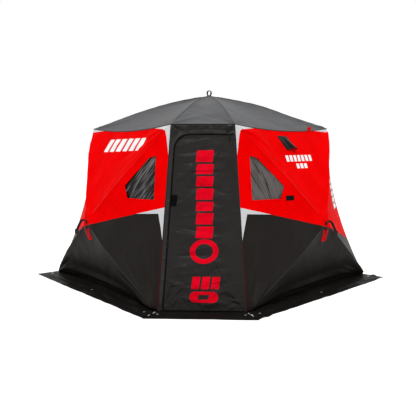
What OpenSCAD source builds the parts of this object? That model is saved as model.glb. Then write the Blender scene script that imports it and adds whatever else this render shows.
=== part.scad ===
// Pop-up ice fishing hut: fabric walls and roof stretched over hubs and bowed poles.
// Origin at the centre of the footprint on the ground, +Z up, the hinged door faces -Y.

/* [Overall] */
// Height of the roof peak above the ground
peak_h = 2030; // [1850:10:2450]
// Height of the eave corners above the ground
eave_h = 1665; // [1380:5:2000]
// Length from door end to door end at the ground
base_l = 3210; // [2650:10:3900]
// Length from door end to door end at the eaves
eave_l = 2810; // [2330:10:3400]
// Width across the side corners at the ground
base_w = 3560; // [2950:10:4300]
// Width across the side corners at the eaves
eave_w = 2650; // [2200:10:3200]
// Width of each door end at the ground
end_base_w = 794; // [660:2:960]
// Width of each door end at the eaves
end_eave_w = 572; // [476:2:690]

/* [Fabric] */
// Thickness of the wall and door fabric
fabric_t = 4; // [3:0.5:6]
// Thickness of the roof fabric
roof_t = 4; // [3:0.5:6]
// Clearance between sewn or stacked layers
seam_gap = 0.3; // [0.2:0.1:0.5]
// Sag of each wide eave at its middle
eave_sag = 45; // [0:5:80]
// Inward bow of the seam at each side corner
side_bow = 110; // [0:5:140]
// Inward bow of each wide wall's ground edge
ground_bow = 70; // [0:5:100]
// Share of the poles' bow that the fabric loses half way between two poles
slack = 0.55; // [0:0.05:0.9]

/* [Wall hubs and poles] */
// Height of the wall hubs
hub_h = 715; // [600:5:860]
// Distance of each wall hub outside the flat plane of its wall
hub_out = 290; // [220:5:350]
// Bow of each wall pole at its middle
wall_pole_rise = 38; // [30:1:50]
// Bow of each roof pole at its middle
roof_pole_rise = 47; // [35:1:60]
// Diameter of the poles
pole_d = 11; // [8:0.5:14]
// Depth of the pole axes below the ridges of the fabric
pole_depth = 17; // [16:1:25]
// Diameter of the hub bodies
hub_d = 84; // [70:2:110]
// Thickness of the hub bodies
hub_t = 28; // [24:1:36]
// Diameter of the stud that goes through the fabric at each hub
stud_d = 14; // [10:1:20]
// Thickness of the outer caps of the hubs
cap_t = 4; // [3:0.5:8]
// Diameter of the roof hub's outer cap
roof_cap_d = 56; // [50:1:80]

/* [Doors] */
// Height of the fabric between the doors and the eaves
header_h = 85; // [60:1:130]
// Gap between a door's lower edge and the skirt
door_foot_gap = 10; // [5:1:30]
// Width of the fabric strip on the zip side of the door
jamb_w = 42; // [30:1:60]
// Width of the sewn strip on the hinge side of the door
hinge_strip = 20; // [12:1:30]
// Radius of the door's upper corner on the zip side
door_corner_r = 145; // [80:5:170]
// Clearance between the door and the strips on the zip side and above
door_gap = 1.5; // [0.8:0.1:3]
// Width of the zip tape
zip_w = 14; // [8:1:20]

/* [Windows] */
// Distance of the window from the door seam
window_inset = 125; // [90:5:150]
// Height of the window's lower edge above the colour change at the door seam
window_sill_gap = 61; // [40:1:100]
// Distance of the window's highest corner below the eave
window_head_gap = 283; // [220:1:320]
// Width of the window along its lower edge
window_w = 308; // [250:2:340]
// Distance between the window and the pole ridge beside it
window_ridge_gap = 82; // [60:2:110]
// Length of the cut at the window's outer lower corner
window_corner = 110; // [60:5:120]
// Lap of the clear pane behind the fabric
pane_lap = 14; // [8:1:20]
// Thickness of the clear pane
pane_t = 2; // [1:0.5:3]

/* [Skirts] */
// Thickness of the skirts
skirt_t = 4; // [3:0.5:6]
// Width of the skirts at the side corners
skirt_w = 265; // [180:5:300]
// Width of the wide walls' skirts beside the door ends
skirt_door_w = 210; // [150:5:250]
// Length by which those skirts' outer edges run on past the door seams
skirt_turn = 85; // [60:5:90]
// Width of the skirts at the door ends
end_skirt_w = 225; // [150:5:280]
// Length by which the rear skirts stop short of the side corners
rear_cutback = 300; // [200:10:450]
// Lap of the skirts under the walls
skirt_lap = 8; // [6:1:14]
// Diameter of the grommet eyes
eye_d = 16; // [10:1:20]

/* [Trim] */
// Height of the colour change at the door seams
band_h = 922; // [880:2:950]
// Height of the colour change at the side corners
band_side_h = 420; // [300:5:500]
// Thickness of the sewn-on patches
patch_t = 1.5; // [1:0.5:2]
// Length of the reflective points along the eaves and door seams
accent_l = 290; // [200:5:320]
// Height of the reflective points at their wide end
accent_h = 45; // [30:1:60]
// Length of the reflective point under the colour change
band_accent_l = 315; // [200:5:340]
// Diameter of the red piping on the door seams
piping_d = 6; // [4:0.5:8]
// Distance of the pull tabs' upper ends below the wall hubs
tab_drop = 58; // [40:1:80]
// Width of the pull tabs
tab_w = 80; // [60:2:100]
// Length of the pull tabs
tab_l = 130; // [90:5:160]
// Width of the webbing
web_w = 25; // [20:1:40]
// Height of the vent hoods' open lower end
hood_h = 30; // [20:1:45]

/* [Hidden] */

$fn = 48;
RED = [0.85, 0.05, 0.04];
BLACK = [0.14, 0.13, 0.12];
GREY = [0.42, 0.43, 0.44];
SILVER = [0.8, 0.8, 0.8];

// Where the wall fabric ends below the roof and above the skirt
top_z = eave_h - roof_t - seam_gap;
foot_z = skirt_t + seam_gap;

// The front right wall: its four corners, its direction along the ground and its normal
door_foot = [end_base_w / 2, -base_l / 2, foot_z];
door_head = [end_eave_w / 2, -eave_l / 2, top_z];
side_head = [eave_w / 2, 0, top_z];
side_foot = [base_w / 2, 0, foot_z];
wall_az = atan2(base_l / 2, (base_w - end_base_w) / 2);
along = [cos(wall_az), sin(wall_az), 0];
normal = [sin(wall_az), -cos(wall_az), 0];
wall_mid = mix(mix(door_foot, side_foot, 0.5), mix(door_head, side_head, 0.5),
               (hub_h - foot_z) / (top_z - foot_z));
hub = wall_mid + hub_out * normal;

// Directions in which the thickness of two panels meets at a seam
door_mitre = [normal.x / (1 - normal.y), -1, 0];
side_mitre = [1 / normal.x, 0, 0];

// The four edges of a wide wall, counted round it from the door seam
DOOR_SEAM = 0;
EAVE = 1;
SIDE_SEAM = 2;
GROUND = 3;
band_door = (band_h - foot_z) / (top_z - foot_z);
band_side = (top_z - band_side_h) / (top_z - foot_z);
rows = 8;           // rows of facets from an edge to the flat patch round the hub
row_end = 0.9;      // how far those rows reach towards the hub
steps = 8;          // facets along one edge
patch_r = 62;       // radius of the flat patch round a hub
hole_r = stud_d / 2 + 4;
cap_r = hole_r + 6;

function mix(a, b, t) = a + (b - a) * t;
function bow(t) = 4 * t * (1 - t);
function unit(v) = v / norm(v);

// A point on an edge of the wall, t from 0 to 1
function edge_point(edge, t) =
    edge == DOOR_SEAM ? mix(door_foot, door_head, t) :
    edge == EAVE ? mix(door_head, side_head, t) - [0, 0, eave_sag * bow(t)] :
    edge == SIDE_SEAM ? mix(side_head, side_foot, t) - [side_bow * bow(t), 0, 0] :
    mix(side_foot, door_foot, t) - ground_bow * bow(t) * normal;

// A point of the outer face, v from 0 at the edge to 1 at the hub
function face_point(edge, t, v) =
    mix(edge_point(edge, t), hub, v)
    + wall_pole_rise * (1 - slack * bow(t)) * bow(v) * normal;

// A point of the flat patch round the hub
function ring_point(edge, t, r) =
    let (reach = edge_point(edge, t) - hub)
    hub + r * unit(reach - (reach * normal) * normal);

function row_point(edge, t, row) =
    row <= rows ? face_point(edge, t, row_end * row / rows) :
    ring_point(edge, t, row == rows + 1 ? patch_r : hole_r);

function at_door_seam(edge, t) =
    edge == DOOR_SEAM || (edge == EAVE && t == 0) || (edge == GROUND && t == 1);
function at_side_seam(edge, t) =
    edge == SIDE_SEAM || (edge == EAVE && t == 1) || (edge == GROUND && t == 0);
function depth_dir(edge, t, row) =
    row > 0 ? normal :
    at_door_seam(edge, t) ? door_mitre :
    at_side_seam(edge, t) ? side_mitre : normal;

// Stations along one edge, with or without the first one
function stations(edge, from, to, first = 0) =
    [for (i = [first:steps]) [edge, mix(from, to, i / steps)]];
function window_stations() = stations(DOOR_SEAM, band_door, 1);
function upper_stations() =
    concat(stations(EAVE, 0, 1), stations(SIDE_SEAM, 0, band_side, 1));
function lower_stations() =
    concat(stations(SIDE_SEAM, band_side, 1), stations(GROUND, 0, 1, 1),
           stations(DOOR_SEAM, 0, band_door, 1));
function head_stations() = concat(window_stations(), stations(EAVE, 0, 1, 1));

// A closed sheet between two grids of points; the outer grid is clockwise from outside
module sheet_between(outer, inner) {
    n = len(outer) - 1;
    m = len(outer[0]) - 1;
    w = m + 1;
    half = (n + 1) * w;
    points = concat([for (line = outer) each line], [for (line = inner) each line]);
    top = [for (i = [0:n - 1], j = [0:m - 1])
        let (a = i * w + j, b = a + w, c = b + 1, d = a + 1) each [[a, b, c], [a, c, d]]];
    bottom = [for (f = top) [f[2] + half, f[1] + half, f[0] + half]];
    long_sides = [for (i = [0:n - 1])
        let (a = i * w, b = a + w, c = a + m, d = b + m)
        each [[b, a, a + half], [b, a + half, b + half],
              [c, d, d + half], [c, d + half, c + half]]];
    short_sides = [for (j = [0:m - 1])
        let (a = j, b = j + 1, c = n * w + j, d = c + 1)
        each [[a, b, b + half], [a, b + half, a + half],
              [d, c, d + half], [c, c + half, d + half]]];
    polyhedron(points, concat(top, bottom, long_sides, short_sides));
}

// Part of the wall's fabric, from its inner to its outer offset
module wall_sheet(list, inner = -fabric_t, outer = 0) {
    grid = function (offset) [for (s = list) [for (row = [0:rows + 2])
        row_point(s[0], s[1], row) + offset * depth_dir(s[0], s[1], row)]];
    sheet_between(grid(outer), grid(inner));
}

// A prism through the wall; its outline holds distances along the wall from the hub, and heights
module through_wall_shape() {
    translate([hub.x, hub.y, 0]) rotate([90, 0, wall_az])
        linear_extrude(height = 1400, center = true) children();
}
module through_wall(outline) { through_wall_shape() polygon(outline); }

// Distance along the wall from the hub to the door seam and to the eave's side corner
function seam_along(z) =
    (mix(door_foot, door_head, (z - foot_z) / (top_z - foot_z)) - hub) * along;
side_along = (side_head - hub) * along;

// Copies of the front right wall in the other three places
module front_left() { mirror([1, 0, 0]) children(); }
module rear_right() { mirror([0, 1, 0]) children(); }
module rear_left() { rotate([0, 0, 180]) children(); }
module on_all_walls() {
    children();
    front_left() children();
    rear_right() children();
    rear_left() children();
}

// The window's outline: the panel's own edges moved inwards, with its outer corner cut off
window_sill = band_h + window_sill_gap;
window_head = eave_h - window_head_gap;
ridge_slope = atan2(top_z - hub.z, -seam_along(top_z));
module below_line(from, to) {
    d = unit(to - from);
    far = 3000;
    side = [d.y, -d.x];
    polygon([from - far * d, from + far * d, from + far * (d + side), from + far * (side - d)]);
}
module window_outline(grow) {
    seam_low = [seam_along(0), 0];
    seam_high = [seam_along(top_z), top_z];
    seam_side = unit([seam_high.y, -(seam_high.x - seam_low.x)]);
    inset = (window_inset - grow) * seam_side;
    ridge = (window_ridge_gap - grow) * [-sin(ridge_slope), -cos(ridge_slope)];
    sill = [seam_along(window_sill) + window_inset + window_w, window_sill];
    cut = unit([window_corner * 0.36, window_corner]);
    intersection() {
        below_line(seam_low + inset, seam_high + inset);
        below_line([0, window_sill - grow], [-1, window_sill - grow]);
        below_line(seam_high + ridge, [0, hub.z] + ridge);
        below_line(sill + grow * [1, 0] + cut, sill + grow * [1, 0]);
        below_line([seam_along(window_head) + window_inset, window_head + grow * 1.2],
                   [seam_along(window_head) + 2 * window_inset, window_head - 77 + grow * 1.2]);
    }
}

module window_panel() {
    color(RED) difference() {
        wall_sheet(window_stations());
        through_wall_shape() window_outline(0);
    }
}
module upper_panel() { color(RED) wall_sheet(upper_stations()); }
module lower_panel() { color(BLACK) wall_sheet(lower_stations()); }

// The clear pane lies behind the fabric and follows it
module window() {
    back = -fabric_t - seam_gap;
    color([0.3, 0.32, 0.35]) intersection() {
        wall_sheet(window_stations(), back - pane_t, back);
        through_wall_shape() window_outline(pane_lap);
    }
}

// The skirt lies flat on the ground outside a wide wall
module wall_skirt(cutback = 0) {
    start = cutback / norm(side_foot - door_foot);
    inner = [for (i = [0:steps])
        let (t = mix(start, 1, i / steps), p = edge_point(GROUND, t))
        p - skirt_lap * depth_dir(GROUND, t, 0)];
    width = mix(skirt_w, skirt_door_w, start);
    outer = [door_foot + skirt_door_w * normal - skirt_turn * along,
             mix(side_foot, door_foot, start) + width * normal];
    color(BLACK) difference() {
        linear_extrude(height = skirt_t)
            polygon([for (p = concat(inner, outer)) [p.x, p.y]]);
        for (p = wall_eyes(cutback)) eye_hole(p);
    }
}

// Grommet places on a wide wall's skirt: beside the door end, half way and near the side corner
function wall_eyes(cutback) =
    [for (d = [55, 0.5 * norm(side_foot - door_foot), norm(side_foot - door_foot) - cutback - 70])
        door_foot + d * along + 0.5 * skirt_door_w * normal];
end_eye = [end_base_w / 2 - 12, -base_l / 2 - end_skirt_w * 0.4, 0];

module eye_hole(p) {
    translate([p.x, p.y, -1]) cylinder(d = eye_d + 4, h = skirt_t + 2);
}
module grommet(p) {
    rim = eye_d / 2 + 6;
    translate([p.x, p.y, 0]) rotate_extrude()
        polygon([[eye_d / 2, seam_gap], [eye_d / 2 + 1.7, seam_gap],
                 [eye_d / 2 + 1.7, skirt_t + seam_gap], [rim, skirt_t + seam_gap],
                 [rim, skirt_t + seam_gap + 1.2], [eye_d / 2, skirt_t + seam_gap + 1.2]]);
}
module end_grommets() {
    grommet(end_eye);
    grommet([-end_eye.x, end_eye.y]);
}
module grommets() {
    color(SILVER) {
        for (p = wall_eyes(0)) {
            grommet(p);
            front_left() grommet(p);
        }
        for (p = wall_eyes(rear_cutback)) {
            rear_right() grommet(p);
            rear_left() grommet(p);
        }
        end_grommets();
        rotate([0, 0, 180]) end_grommets();
    }
}

// A pole bent to an arc from a to b, raised at its middle, with a sleeve on its end at b
tip_l = 46;
tip_d = pole_d + 5;
module bent_pole(a, b, raised, outward) {
    chord = norm(b - a);
    x = (b - a) / chord;
    across = outward - (outward * x) * x;
    rise = raised * norm(across);
    y = unit(across);
    z = cross(x, y);
    radius = (chord * chord / 4 + rise * rise) / (2 * rise);
    sweep = 2 * asin(chord / 2 / radius);
    centre = (a + b) / 2 - (radius - rise) * y;
    tip = 360 * tip_l / (2 * PI * radius);
    place = [[x.x, y.x, z.x, centre.x], [x.y, y.y, z.y, centre.y], [x.z, y.z, z.z, centre.z]];
    multmatrix(place) rotate([0, 0, 90 - sweep / 2]) {
        rotate_extrude(angle = tip, $fn = 720) translate([radius, 0]) circle(d = tip_d, $fn = 32);
        rotate_extrude(angle = sweep, $fn = 720) translate([radius, 0]) circle(d = pole_d, $fn = 32);
    }
}

// Where a wall pole leaves the hub's arm and where it ends near its corner
arm_r = 8.5;
arm_l = 84;
corner_inset = 44;
arm_depth = max(pole_depth, fabric_t + arm_r + 4);
function pole_start(corner) =
    hub - arm_depth * normal + (arm_l + seam_gap) * arm_dir(corner);
function arm_dir(corner) =
    let (reach = corner - hub, flat = reach - (reach * normal) * normal,
         fall = -(reach * normal) - 4 * wall_pole_rise)
    unit(flat - max(fall, 0) * normal);
function pole_end(corner) =
    corner + corner_inset * unit(hub - corner) - pole_depth * normal;
wall_corners = [door_head, side_head, side_foot, door_foot];

module wall_poles() {
    color(BLACK) for (c = wall_corners)
        bent_pole(pole_start(c), pole_end(c), wall_pole_rise * 0.86, normal);
}

// A hub: body inside the fabric with an arm to each pole, stud through it and cap outside
module wall_hub() {
    color(BLACK) {
        translate(hub) rotate([90, 0, 0]) rotate([0, wall_az, 0]) {
            translate([0, 0, -fabric_t - seam_gap - hub_t]) cylinder(d = hub_d, h = hub_t);
            translate([0, 0, -fabric_t - 2]) cylinder(d = stud_d, h = fabric_t + 3);
            translate([0, 0, seam_gap]) cylinder(r = cap_r, h = cap_t);
        }
        for (c = wall_corners) {
            d = arm_dir(c);
            translate(hub - arm_depth * normal + 30 * d)
                rotate([0, acos(d.z), atan2(d.y, d.x)]) cylinder(r = arm_r, h = arm_l - 30);
        }
    }
}

// The roof: a panel between two neighbouring poles, highest at the hub
peak = [0, 0, peak_h];
eave_up = [0, 0, roof_t + seam_gap];
function roof_row(edge_pt, t, row) =
    row <= rows ? mix(edge_pt, peak, row_end * row / rows)
        + [0, 0, roof_pole_rise * (1 - slack * bow(t)) * bow(row_end * row / rows)] :
    peak + (row == rows + 1 ? patch_r : hole_r) * unit([edge_pt.x, edge_pt.y, 0]);
module roof_sheet(edge_pts) {
    outer = [for (i = [0:steps]) [for (row = [0:rows + 2]) roof_row(edge_pts[i], i / steps, row)]];
    inner = [for (line = outer) [for (p = line) p - [0, 0, roof_t]]];
    color(GREY) sheet_between(outer, inner);
}
module roof_wide() {
    roof_sheet([for (i = [0:steps]) edge_point(EAVE, 1 - i / steps) + eave_up]);
}
module roof_end() {
    left = [-door_head.x, door_head.y, door_head.z];
    roof_sheet([for (i = [0:steps]) mix(door_head, left, i / steps) + eave_up]);
}

roof_corners = [door_head, [-door_head.x, door_head.y, top_z], side_head,
                -side_head + [0, 0, 2 * top_z], [door_head.x, -door_head.y, top_z],
                [-door_head.x, -door_head.y, top_z]];
function roof_arm_dir(corner) =
    let (flat = unit([corner.x, corner.y, 0]), run = norm([corner.x, corner.y]),
         fall = (peak_h - eave_h - 4 * roof_pole_rise) / run)
    unit(flat - [0, 0, max(fall, 0)]);
function under_peak() = peak - [0, 0, roof_t + arm_r + 4];
module roof_poles() {
    color(BLACK) for (c = roof_corners) {
        start = under_peak() + (arm_l + seam_gap) * roof_arm_dir(c);
        end = c + corner_inset * 1.2 * unit(peak - c) - [0, 0, pole_depth - roof_t];
        bent_pole(start, end, roof_pole_rise * 0.86, [0, 0, 1]);
    }
}
module roof_hub() {
    color(BLACK) {
        translate(peak - [0, 0, roof_t + seam_gap + hub_t]) cylinder(d = hub_d, h = hub_t);
        translate(peak - [0, 0, roof_t + 2]) cylinder(d = stud_d, h = roof_t + 3);
        translate(peak + [0, 0, seam_gap]) cylinder(d = roof_cap_d, h = cap_t);
        for (c = roof_corners) {
            d = roof_arm_dir(c);
            translate(under_peak() + 30 * d)
                rotate([0, acos(d.z), atan2(d.y, d.x)]) cylinder(r = arm_r, h = arm_l - 30);
        }
    }
}
// The loop of webbing that stands on the roof hub's cap
module roof_loop() {
    loop_r = 24;
    color(BLACK) translate(peak + [0, web_w / 2, seam_gap + cap_t + seam_gap]) rotate([90, 0, 0])
        linear_extrude(height = web_w) difference() {
            union() {
                translate([0, loop_r]) circle(r = loop_r);
                translate([-loop_r, 0]) square([2 * loop_r, loop_r]);
            }
            union() {
                translate([0, loop_r]) circle(r = loop_r - 3);
                translate([3 - loop_r, 3]) square([2 * loop_r - 6, loop_r - 3]);
            }
        }
}

// The door end: one flat sheet between the two door seams, cut into surround and door
module end_sheet(inner = -fabric_t, outer = 0) {
    place = function (p, side, offset)
        [side * (p.x + offset * door_mitre.x), p.y + offset * door_mitre.y, p.z];
    grid = function (offset) [[place(door_foot, -1, offset), place(door_foot, 1, offset)],
                              [place(door_head, -1, offset), place(door_head, 1, offset)]];
    sheet_between(grid(outer), grid(inner));
}
function seam_x(z) = mix(door_foot.x, door_head.x, (z - foot_z) / (top_z - foot_z));
door_bottom = foot_z + door_foot_gap;
door_top = top_z - header_h;

// The door's outline, grown on its free edges and on its hinge edge
function door_outline(free, hinge) =
    let (lean = (door_foot.x - door_head.x) / (top_z - foot_z), r = door_corner_r + free,
         low = door_bottom - free, high = door_top + free, zc = high - r,
         zip_x = function (z) jamb_w - free - seam_x(z),
         hinge_x = function (z) seam_x(z) - hinge_strip + hinge,
         xc = zip_x(zc) + r * sqrt(1 + lean * lean), first = 180 - atan(lean))
    concat([[hinge_x(low), low], [zip_x(low), low]],
           [for (i = [0:10]) let (a = mix(first, 90, i / 10)) [xc + r * cos(a), zc + r * sin(a)]],
           [[hinge_x(high), high]]);
module through_end(outline) {
    translate([0, -base_l / 4, 0]) rotate([90, 0, 0])
        linear_extrude(height = base_l / 2) polygon(outline);
}
// The doorway reaches down through the lower edge of the surround
module doorway() {
    low = door_bottom;
    through_end(door_outline(door_gap, seam_gap));
    through_end([[seam_x(low) - hinge_strip + seam_gap, low], [jamb_w - door_gap - seam_x(low), low],
                 [jamb_w - door_gap - seam_x(0), -9], [seam_x(0) - hinge_strip + seam_gap, -9]]);
}
module surround() {
    color(BLACK) difference() {
        end_sheet();
        doorway();
    }
}
module door() {
    color(BLACK) intersection() {
        end_sheet();
        through_end(door_outline(0, 0));
    }
}
// Zip tape on the surround, along the door's free side and top
module zipper() {
    clear = door_gap + 1;
    color([0.05, 0.05, 0.05]) intersection() {
        end_sheet(seam_gap, seam_gap + 2);
        difference() {
            through_end(door_outline(clear + zip_w, -hinge_strip));
            through_end(door_outline(clear, hinge_strip + 50));
            translate([-500, -base_l, -1]) cube([1000, base_l, door_bottom + 6]);
        }
    }
}
module end_skirt() {
    inner = door_foot - skirt_lap * door_mitre;
    outer = door_foot + end_skirt_w * door_mitre;
    color(BLACK) difference() {
        linear_extrude(height = skirt_t)
            polygon([[inner.x, inner.y], [-inner.x, inner.y], [-outer.x, outer.y], [outer.x, outer.y]]);
        eye_hole(end_eye);
        eye_hole([-end_eye.x, end_eye.y]);
    }
}

// Reflective points at the eave corners and under the colour change at the door seams
module accents() {
    top = top_z + 20;
    door_a = seam_along(top_z);
    corner = accent_h * 0.9;
    color(SILVER) intersection() {
        wall_sheet(head_stations(), seam_gap, seam_gap + patch_t);
        union() {
            through_wall([[door_a - 60, top], [door_a + accent_l, top],
                          [door_a + accent_l, top_z - accent_l * 0.16],
                          [door_a + corner, top_z - accent_h],
                          [seam_along(top_z - accent_l), top_z - accent_l],
                          [door_a - 60, top_z - accent_l]]);
            through_wall([[side_along + 60, top], [side_along + 60, top_z - accent_h],
                          [side_along, top_z - accent_h],
                          [side_along - accent_l, top_z - accent_l * 0.16],
                          [side_along - accent_l, top]]);
        }
    }
    seam = seam_along(band_h);
    tip = mix([seam, band_h], [0, hub.z], band_accent_l / -seam);
    color(SILVER) intersection() {
        wall_sheet(lower_stations(), seam_gap, seam_gap + patch_t);
        through_wall([[seam - 60, band_h + 60], [tip.x, tip.y + 60], tip,
                      [seam + 62, band_h - 60], [seam_along(band_h - 300), band_h - 300],
                      [seam - 60, band_h - 300]]);
    }
}
module reflective_accents() { on_all_walls() accents(); }

// Round piping along the lower part of each door seam
module piping() {
    out = (piping_d / 2 + seam_gap + 0.7) * unit(door_mitre);
    a = mix(door_foot, door_head, 0.01) + out;
    b = mix(door_foot, door_head, (band_h - 310) / (top_z - foot_z)) + out;
    d = unit(b - a);
    color([0.55, 0.08, 0.06]) translate(a) rotate([0, acos(d.z), atan2(d.y, d.x)])
        cylinder(d = piping_d, h = norm(b - a));
}
module seam_piping() { on_all_walls() piping(); }

// A pull tab hangs below each wall hub
module pull_tab() {
    top = hub.z - tab_drop;
    color(RED) intersection() {
        wall_sheet(lower_stations(), seam_gap, seam_gap + 3);
        through_wall([[-tab_w / 2, top], [tab_w / 2, top], [tab_w / 2, top - tab_l],
                      [-tab_w / 2, top - tab_l]]);
    }
}
module hub_pull_tabs() { on_all_walls() pull_tab(); }

// A webbing strap comes off each wall hub's cap and hangs down to its buckle
strap_t = 3;
module guy_strap() {
    out = seam_gap + cap_t + seam_gap;
    reach = 100;
    drop = 92;
    color(BLACK) translate([hub.x, hub.y, hub.z]) rotate([0, 0, wall_az - 90])
        translate([0, web_w / 2, 0]) rotate([90, 0, 0]) linear_extrude(height = web_w) {
            translate([out, -20]) square([strap_t, 44]);
            translate([out, 21]) square([reach, strap_t]);
            translate([out + reach - strap_t, 24 - drop]) square([strap_t, drop]);
            translate([out + reach - 9, 24 - drop - 26]) square([14, 30]);
        }
}
module guy_straps() { on_all_walls() guy_strap(); }

// A vent hood high on the wall: tight at its head, standing open at its foot
module vent() {
    n = 8;
    hood = function (lift) [for (i = [0:n]) [for (j = [0:n])
        let (p = i / n, q = j / n, t = mix(mix(0.365, 0.38, q), mix(0.473, 0.51, q), p))
        face_point(EAVE, t, mix(0.055, 0.205, q))
            + (seam_gap + 0.4 + lift + hood_h * q * sin(180 * p)) * normal]];
    color([0.2, 0.2, 0.2]) sheet_between(hood(3), hood(0));
}
module wall_vents() {
    vent();
    rear_left() vent();
}

// Hook-and-loop patch beside the window
module velcro() {
    a = seam_along(window_sill) + window_inset + window_w + 58;
    color([0.08, 0.08, 0.08]) intersection() {
        wall_sheet(window_stations(), seam_gap, seam_gap + patch_t);
        through_wall([[a, window_sill - 22], [a + 90, window_sill - 22],
                      [a + 90, window_sill + 24], [a, window_sill + 24]]);
    }
}
module velcro_patches() {
    velcro();
    rear_left() velcro();
}

front_left() window_panel();  // front_left_window_panel
window_panel();  // front_right_window_panel
rear_left() window_panel();  // rear_left_window_panel
rear_right() window_panel();  // rear_right_window_panel
front_left() upper_panel();  // front_left_upper_panel
upper_panel();  // front_right_upper_panel
rear_left() upper_panel();  // rear_left_upper_panel
rear_right() upper_panel();  // rear_right_upper_panel
front_left() lower_panel();  // front_left_lower_panel
lower_panel();  // front_right_lower_panel
rear_left() lower_panel();  // rear_left_lower_panel
rear_right() lower_panel();  // rear_right_lower_panel
front_left() window();  // front_left_window
window();  // front_right_window
rear_left() window();  // rear_left_window
rear_right() window();  // rear_right_window
front_left() wall_skirt();  // front_left_skirt
wall_skirt();  // front_right_skirt
rear_left() wall_skirt(rear_cutback);  // rear_left_skirt
rear_right() wall_skirt(rear_cutback);  // rear_right_skirt
front_left() wall_poles();  // front_left_poles
wall_poles();  // front_right_poles
rear_left() wall_poles();  // rear_left_poles
rear_right() wall_poles();  // rear_right_poles
on_all_walls() wall_hub();  // wall_hubs
roof_end();  // roof_front
rotate([0, 0, 180]) roof_end();  // roof_rear
front_left() roof_wide();  // roof_front_left
roof_wide();  // roof_front_right
rear_left() roof_wide();  // roof_rear_left
rear_right() roof_wide();  // roof_rear_right
roof_poles();
roof_hub();
roof_loop();
surround();  // front_surround
door();  // front_door
zipper();  // front_zipper
end_skirt();  // front_skirt
rotate([0, 0, 180]) surround();  // rear_surround
rotate([0, 0, 180]) door();  // rear_door
rotate([0, 0, 180]) zipper();  // rear_zipper
rotate([0, 0, 180]) end_skirt();  // rear_skirt
reflective_accents();
seam_piping();
hub_pull_tabs();
guy_straps();
wall_vents();
velcro_patches();
grommets();
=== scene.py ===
import math

import bmesh
import bpy
import numpy as np
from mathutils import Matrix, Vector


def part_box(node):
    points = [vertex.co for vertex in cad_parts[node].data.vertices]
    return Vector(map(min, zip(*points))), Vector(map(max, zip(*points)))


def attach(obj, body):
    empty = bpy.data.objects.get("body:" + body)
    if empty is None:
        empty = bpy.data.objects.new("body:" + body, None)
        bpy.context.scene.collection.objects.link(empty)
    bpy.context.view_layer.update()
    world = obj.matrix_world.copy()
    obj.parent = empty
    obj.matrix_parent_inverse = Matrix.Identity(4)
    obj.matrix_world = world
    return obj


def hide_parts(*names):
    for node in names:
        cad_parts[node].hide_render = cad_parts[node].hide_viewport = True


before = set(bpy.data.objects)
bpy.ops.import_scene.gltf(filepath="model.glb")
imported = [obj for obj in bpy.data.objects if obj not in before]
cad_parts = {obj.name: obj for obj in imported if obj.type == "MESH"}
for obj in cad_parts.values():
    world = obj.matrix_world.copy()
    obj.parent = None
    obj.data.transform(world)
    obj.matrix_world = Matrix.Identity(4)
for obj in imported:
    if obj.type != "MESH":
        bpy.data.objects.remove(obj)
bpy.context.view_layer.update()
scene = bpy.context.scene

# ---------------------------------------------------------------- camera
CAMERA_AT = (0.264, -6.534, 1.462)
CAMERA_YAW, CAMERA_PITCH = 0.0424, 0.1072
CAMERA_LENS, CAMERA_SENSOR, CAMERA_FAR = 49.28, 36, 200

camera_data = bpy.data.cameras.new("camera")
camera_data.lens = CAMERA_LENS
camera_data.sensor_width = CAMERA_SENSOR
camera_data.clip_end = CAMERA_FAR
camera = bpy.data.objects.new("camera", camera_data)
scene.collection.objects.link(camera)
camera.location = CAMERA_AT
camera.rotation_euler = (math.pi / 2 - CAMERA_PITCH, 0, CAMERA_YAW)
scene.camera = camera

# ---------------------------------------------------------------- sizes, in metres
end_lo, end_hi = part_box("front_surround")
roof_lo, roof_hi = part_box("roof_front")
FOOT_Z, TOP_Z = end_lo.z, end_hi.z
DOOR_FOOT = np.array([end_hi.x, end_lo.y, FOOT_Z])
DOOR_HEAD = np.array([roof_hi.x, roof_lo.y, TOP_Z])
SIDE_HEAD = np.array([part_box("roof_front_right")[1].x, 0, TOP_Z])
SIDE_FOOT = np.array([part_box("front_right_lower_panel")[1].x, 0, FOOT_Z])
PEAK = np.array([0, 0, roof_hi.z])
EAVE_Z = TOP_Z + 0.0043
HUB_H, HUB_OUT = 0.715, 0.290                           # a wall hub's height, and how far it stands out
EAVE_SAG, SIDE_BOW, GROUND_BOW = 0.045, 0.110, 0.070    # bows of the walls' edges at their middles
WALL_RISE, ROOF_RISE, SLACK = 0.038, 0.047, 0.55        # bows of the poles, and the cloth's share lost between them
CLOTH, STRIP, WEB = 0.0016, 0.0014, 0.0022              # thickness of the fabric, of sewn strips and of webbing
SHARP_ANGLE = math.radians(40)

UP, EAST = np.array([0.0, 0, 1]), np.array([1.0, 0, 0])
wall_az = math.atan2(-DOOR_FOOT[1], SIDE_FOOT[0] - DOOR_FOOT[0])
ALONG = np.array([math.cos(wall_az), math.sin(wall_az), 0])
NORMAL = np.array([math.sin(wall_az), -math.cos(wall_az), 0])
MITRE = np.array([0.458, -1, 0])                        # outward at a door seam, between the two walls


def mix(a, b, t):
    return a + (b - a) * t


def bow(t):
    return 4 * t * (1 - t)


def smooth(x, low, high):
    t = np.clip((x - low) / (high - low), 0, 1)
    return t * t * (3 - 2 * t)


def unit(v):
    return v / np.linalg.norm(v)


def headings(path):
    """The direction of a path at each of its points."""
    ahead = np.gradient(path, axis=0)
    return ahead / np.linalg.norm(ahead, axis=1, keepdims=True)


def run_along(path):
    """How far along a path each of its points lies."""
    return np.concatenate([[0], np.cumsum(np.linalg.norm(np.diff(path, axis=0), axis=1))])


HUB = mix(mix(DOOR_FOOT, SIDE_FOOT, 0.5), mix(DOOR_HEAD, SIDE_HEAD, 0.5),
          (HUB_H - FOOT_Z) / (TOP_Z - FOOT_Z)) + HUB_OUT * NORMAL


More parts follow.
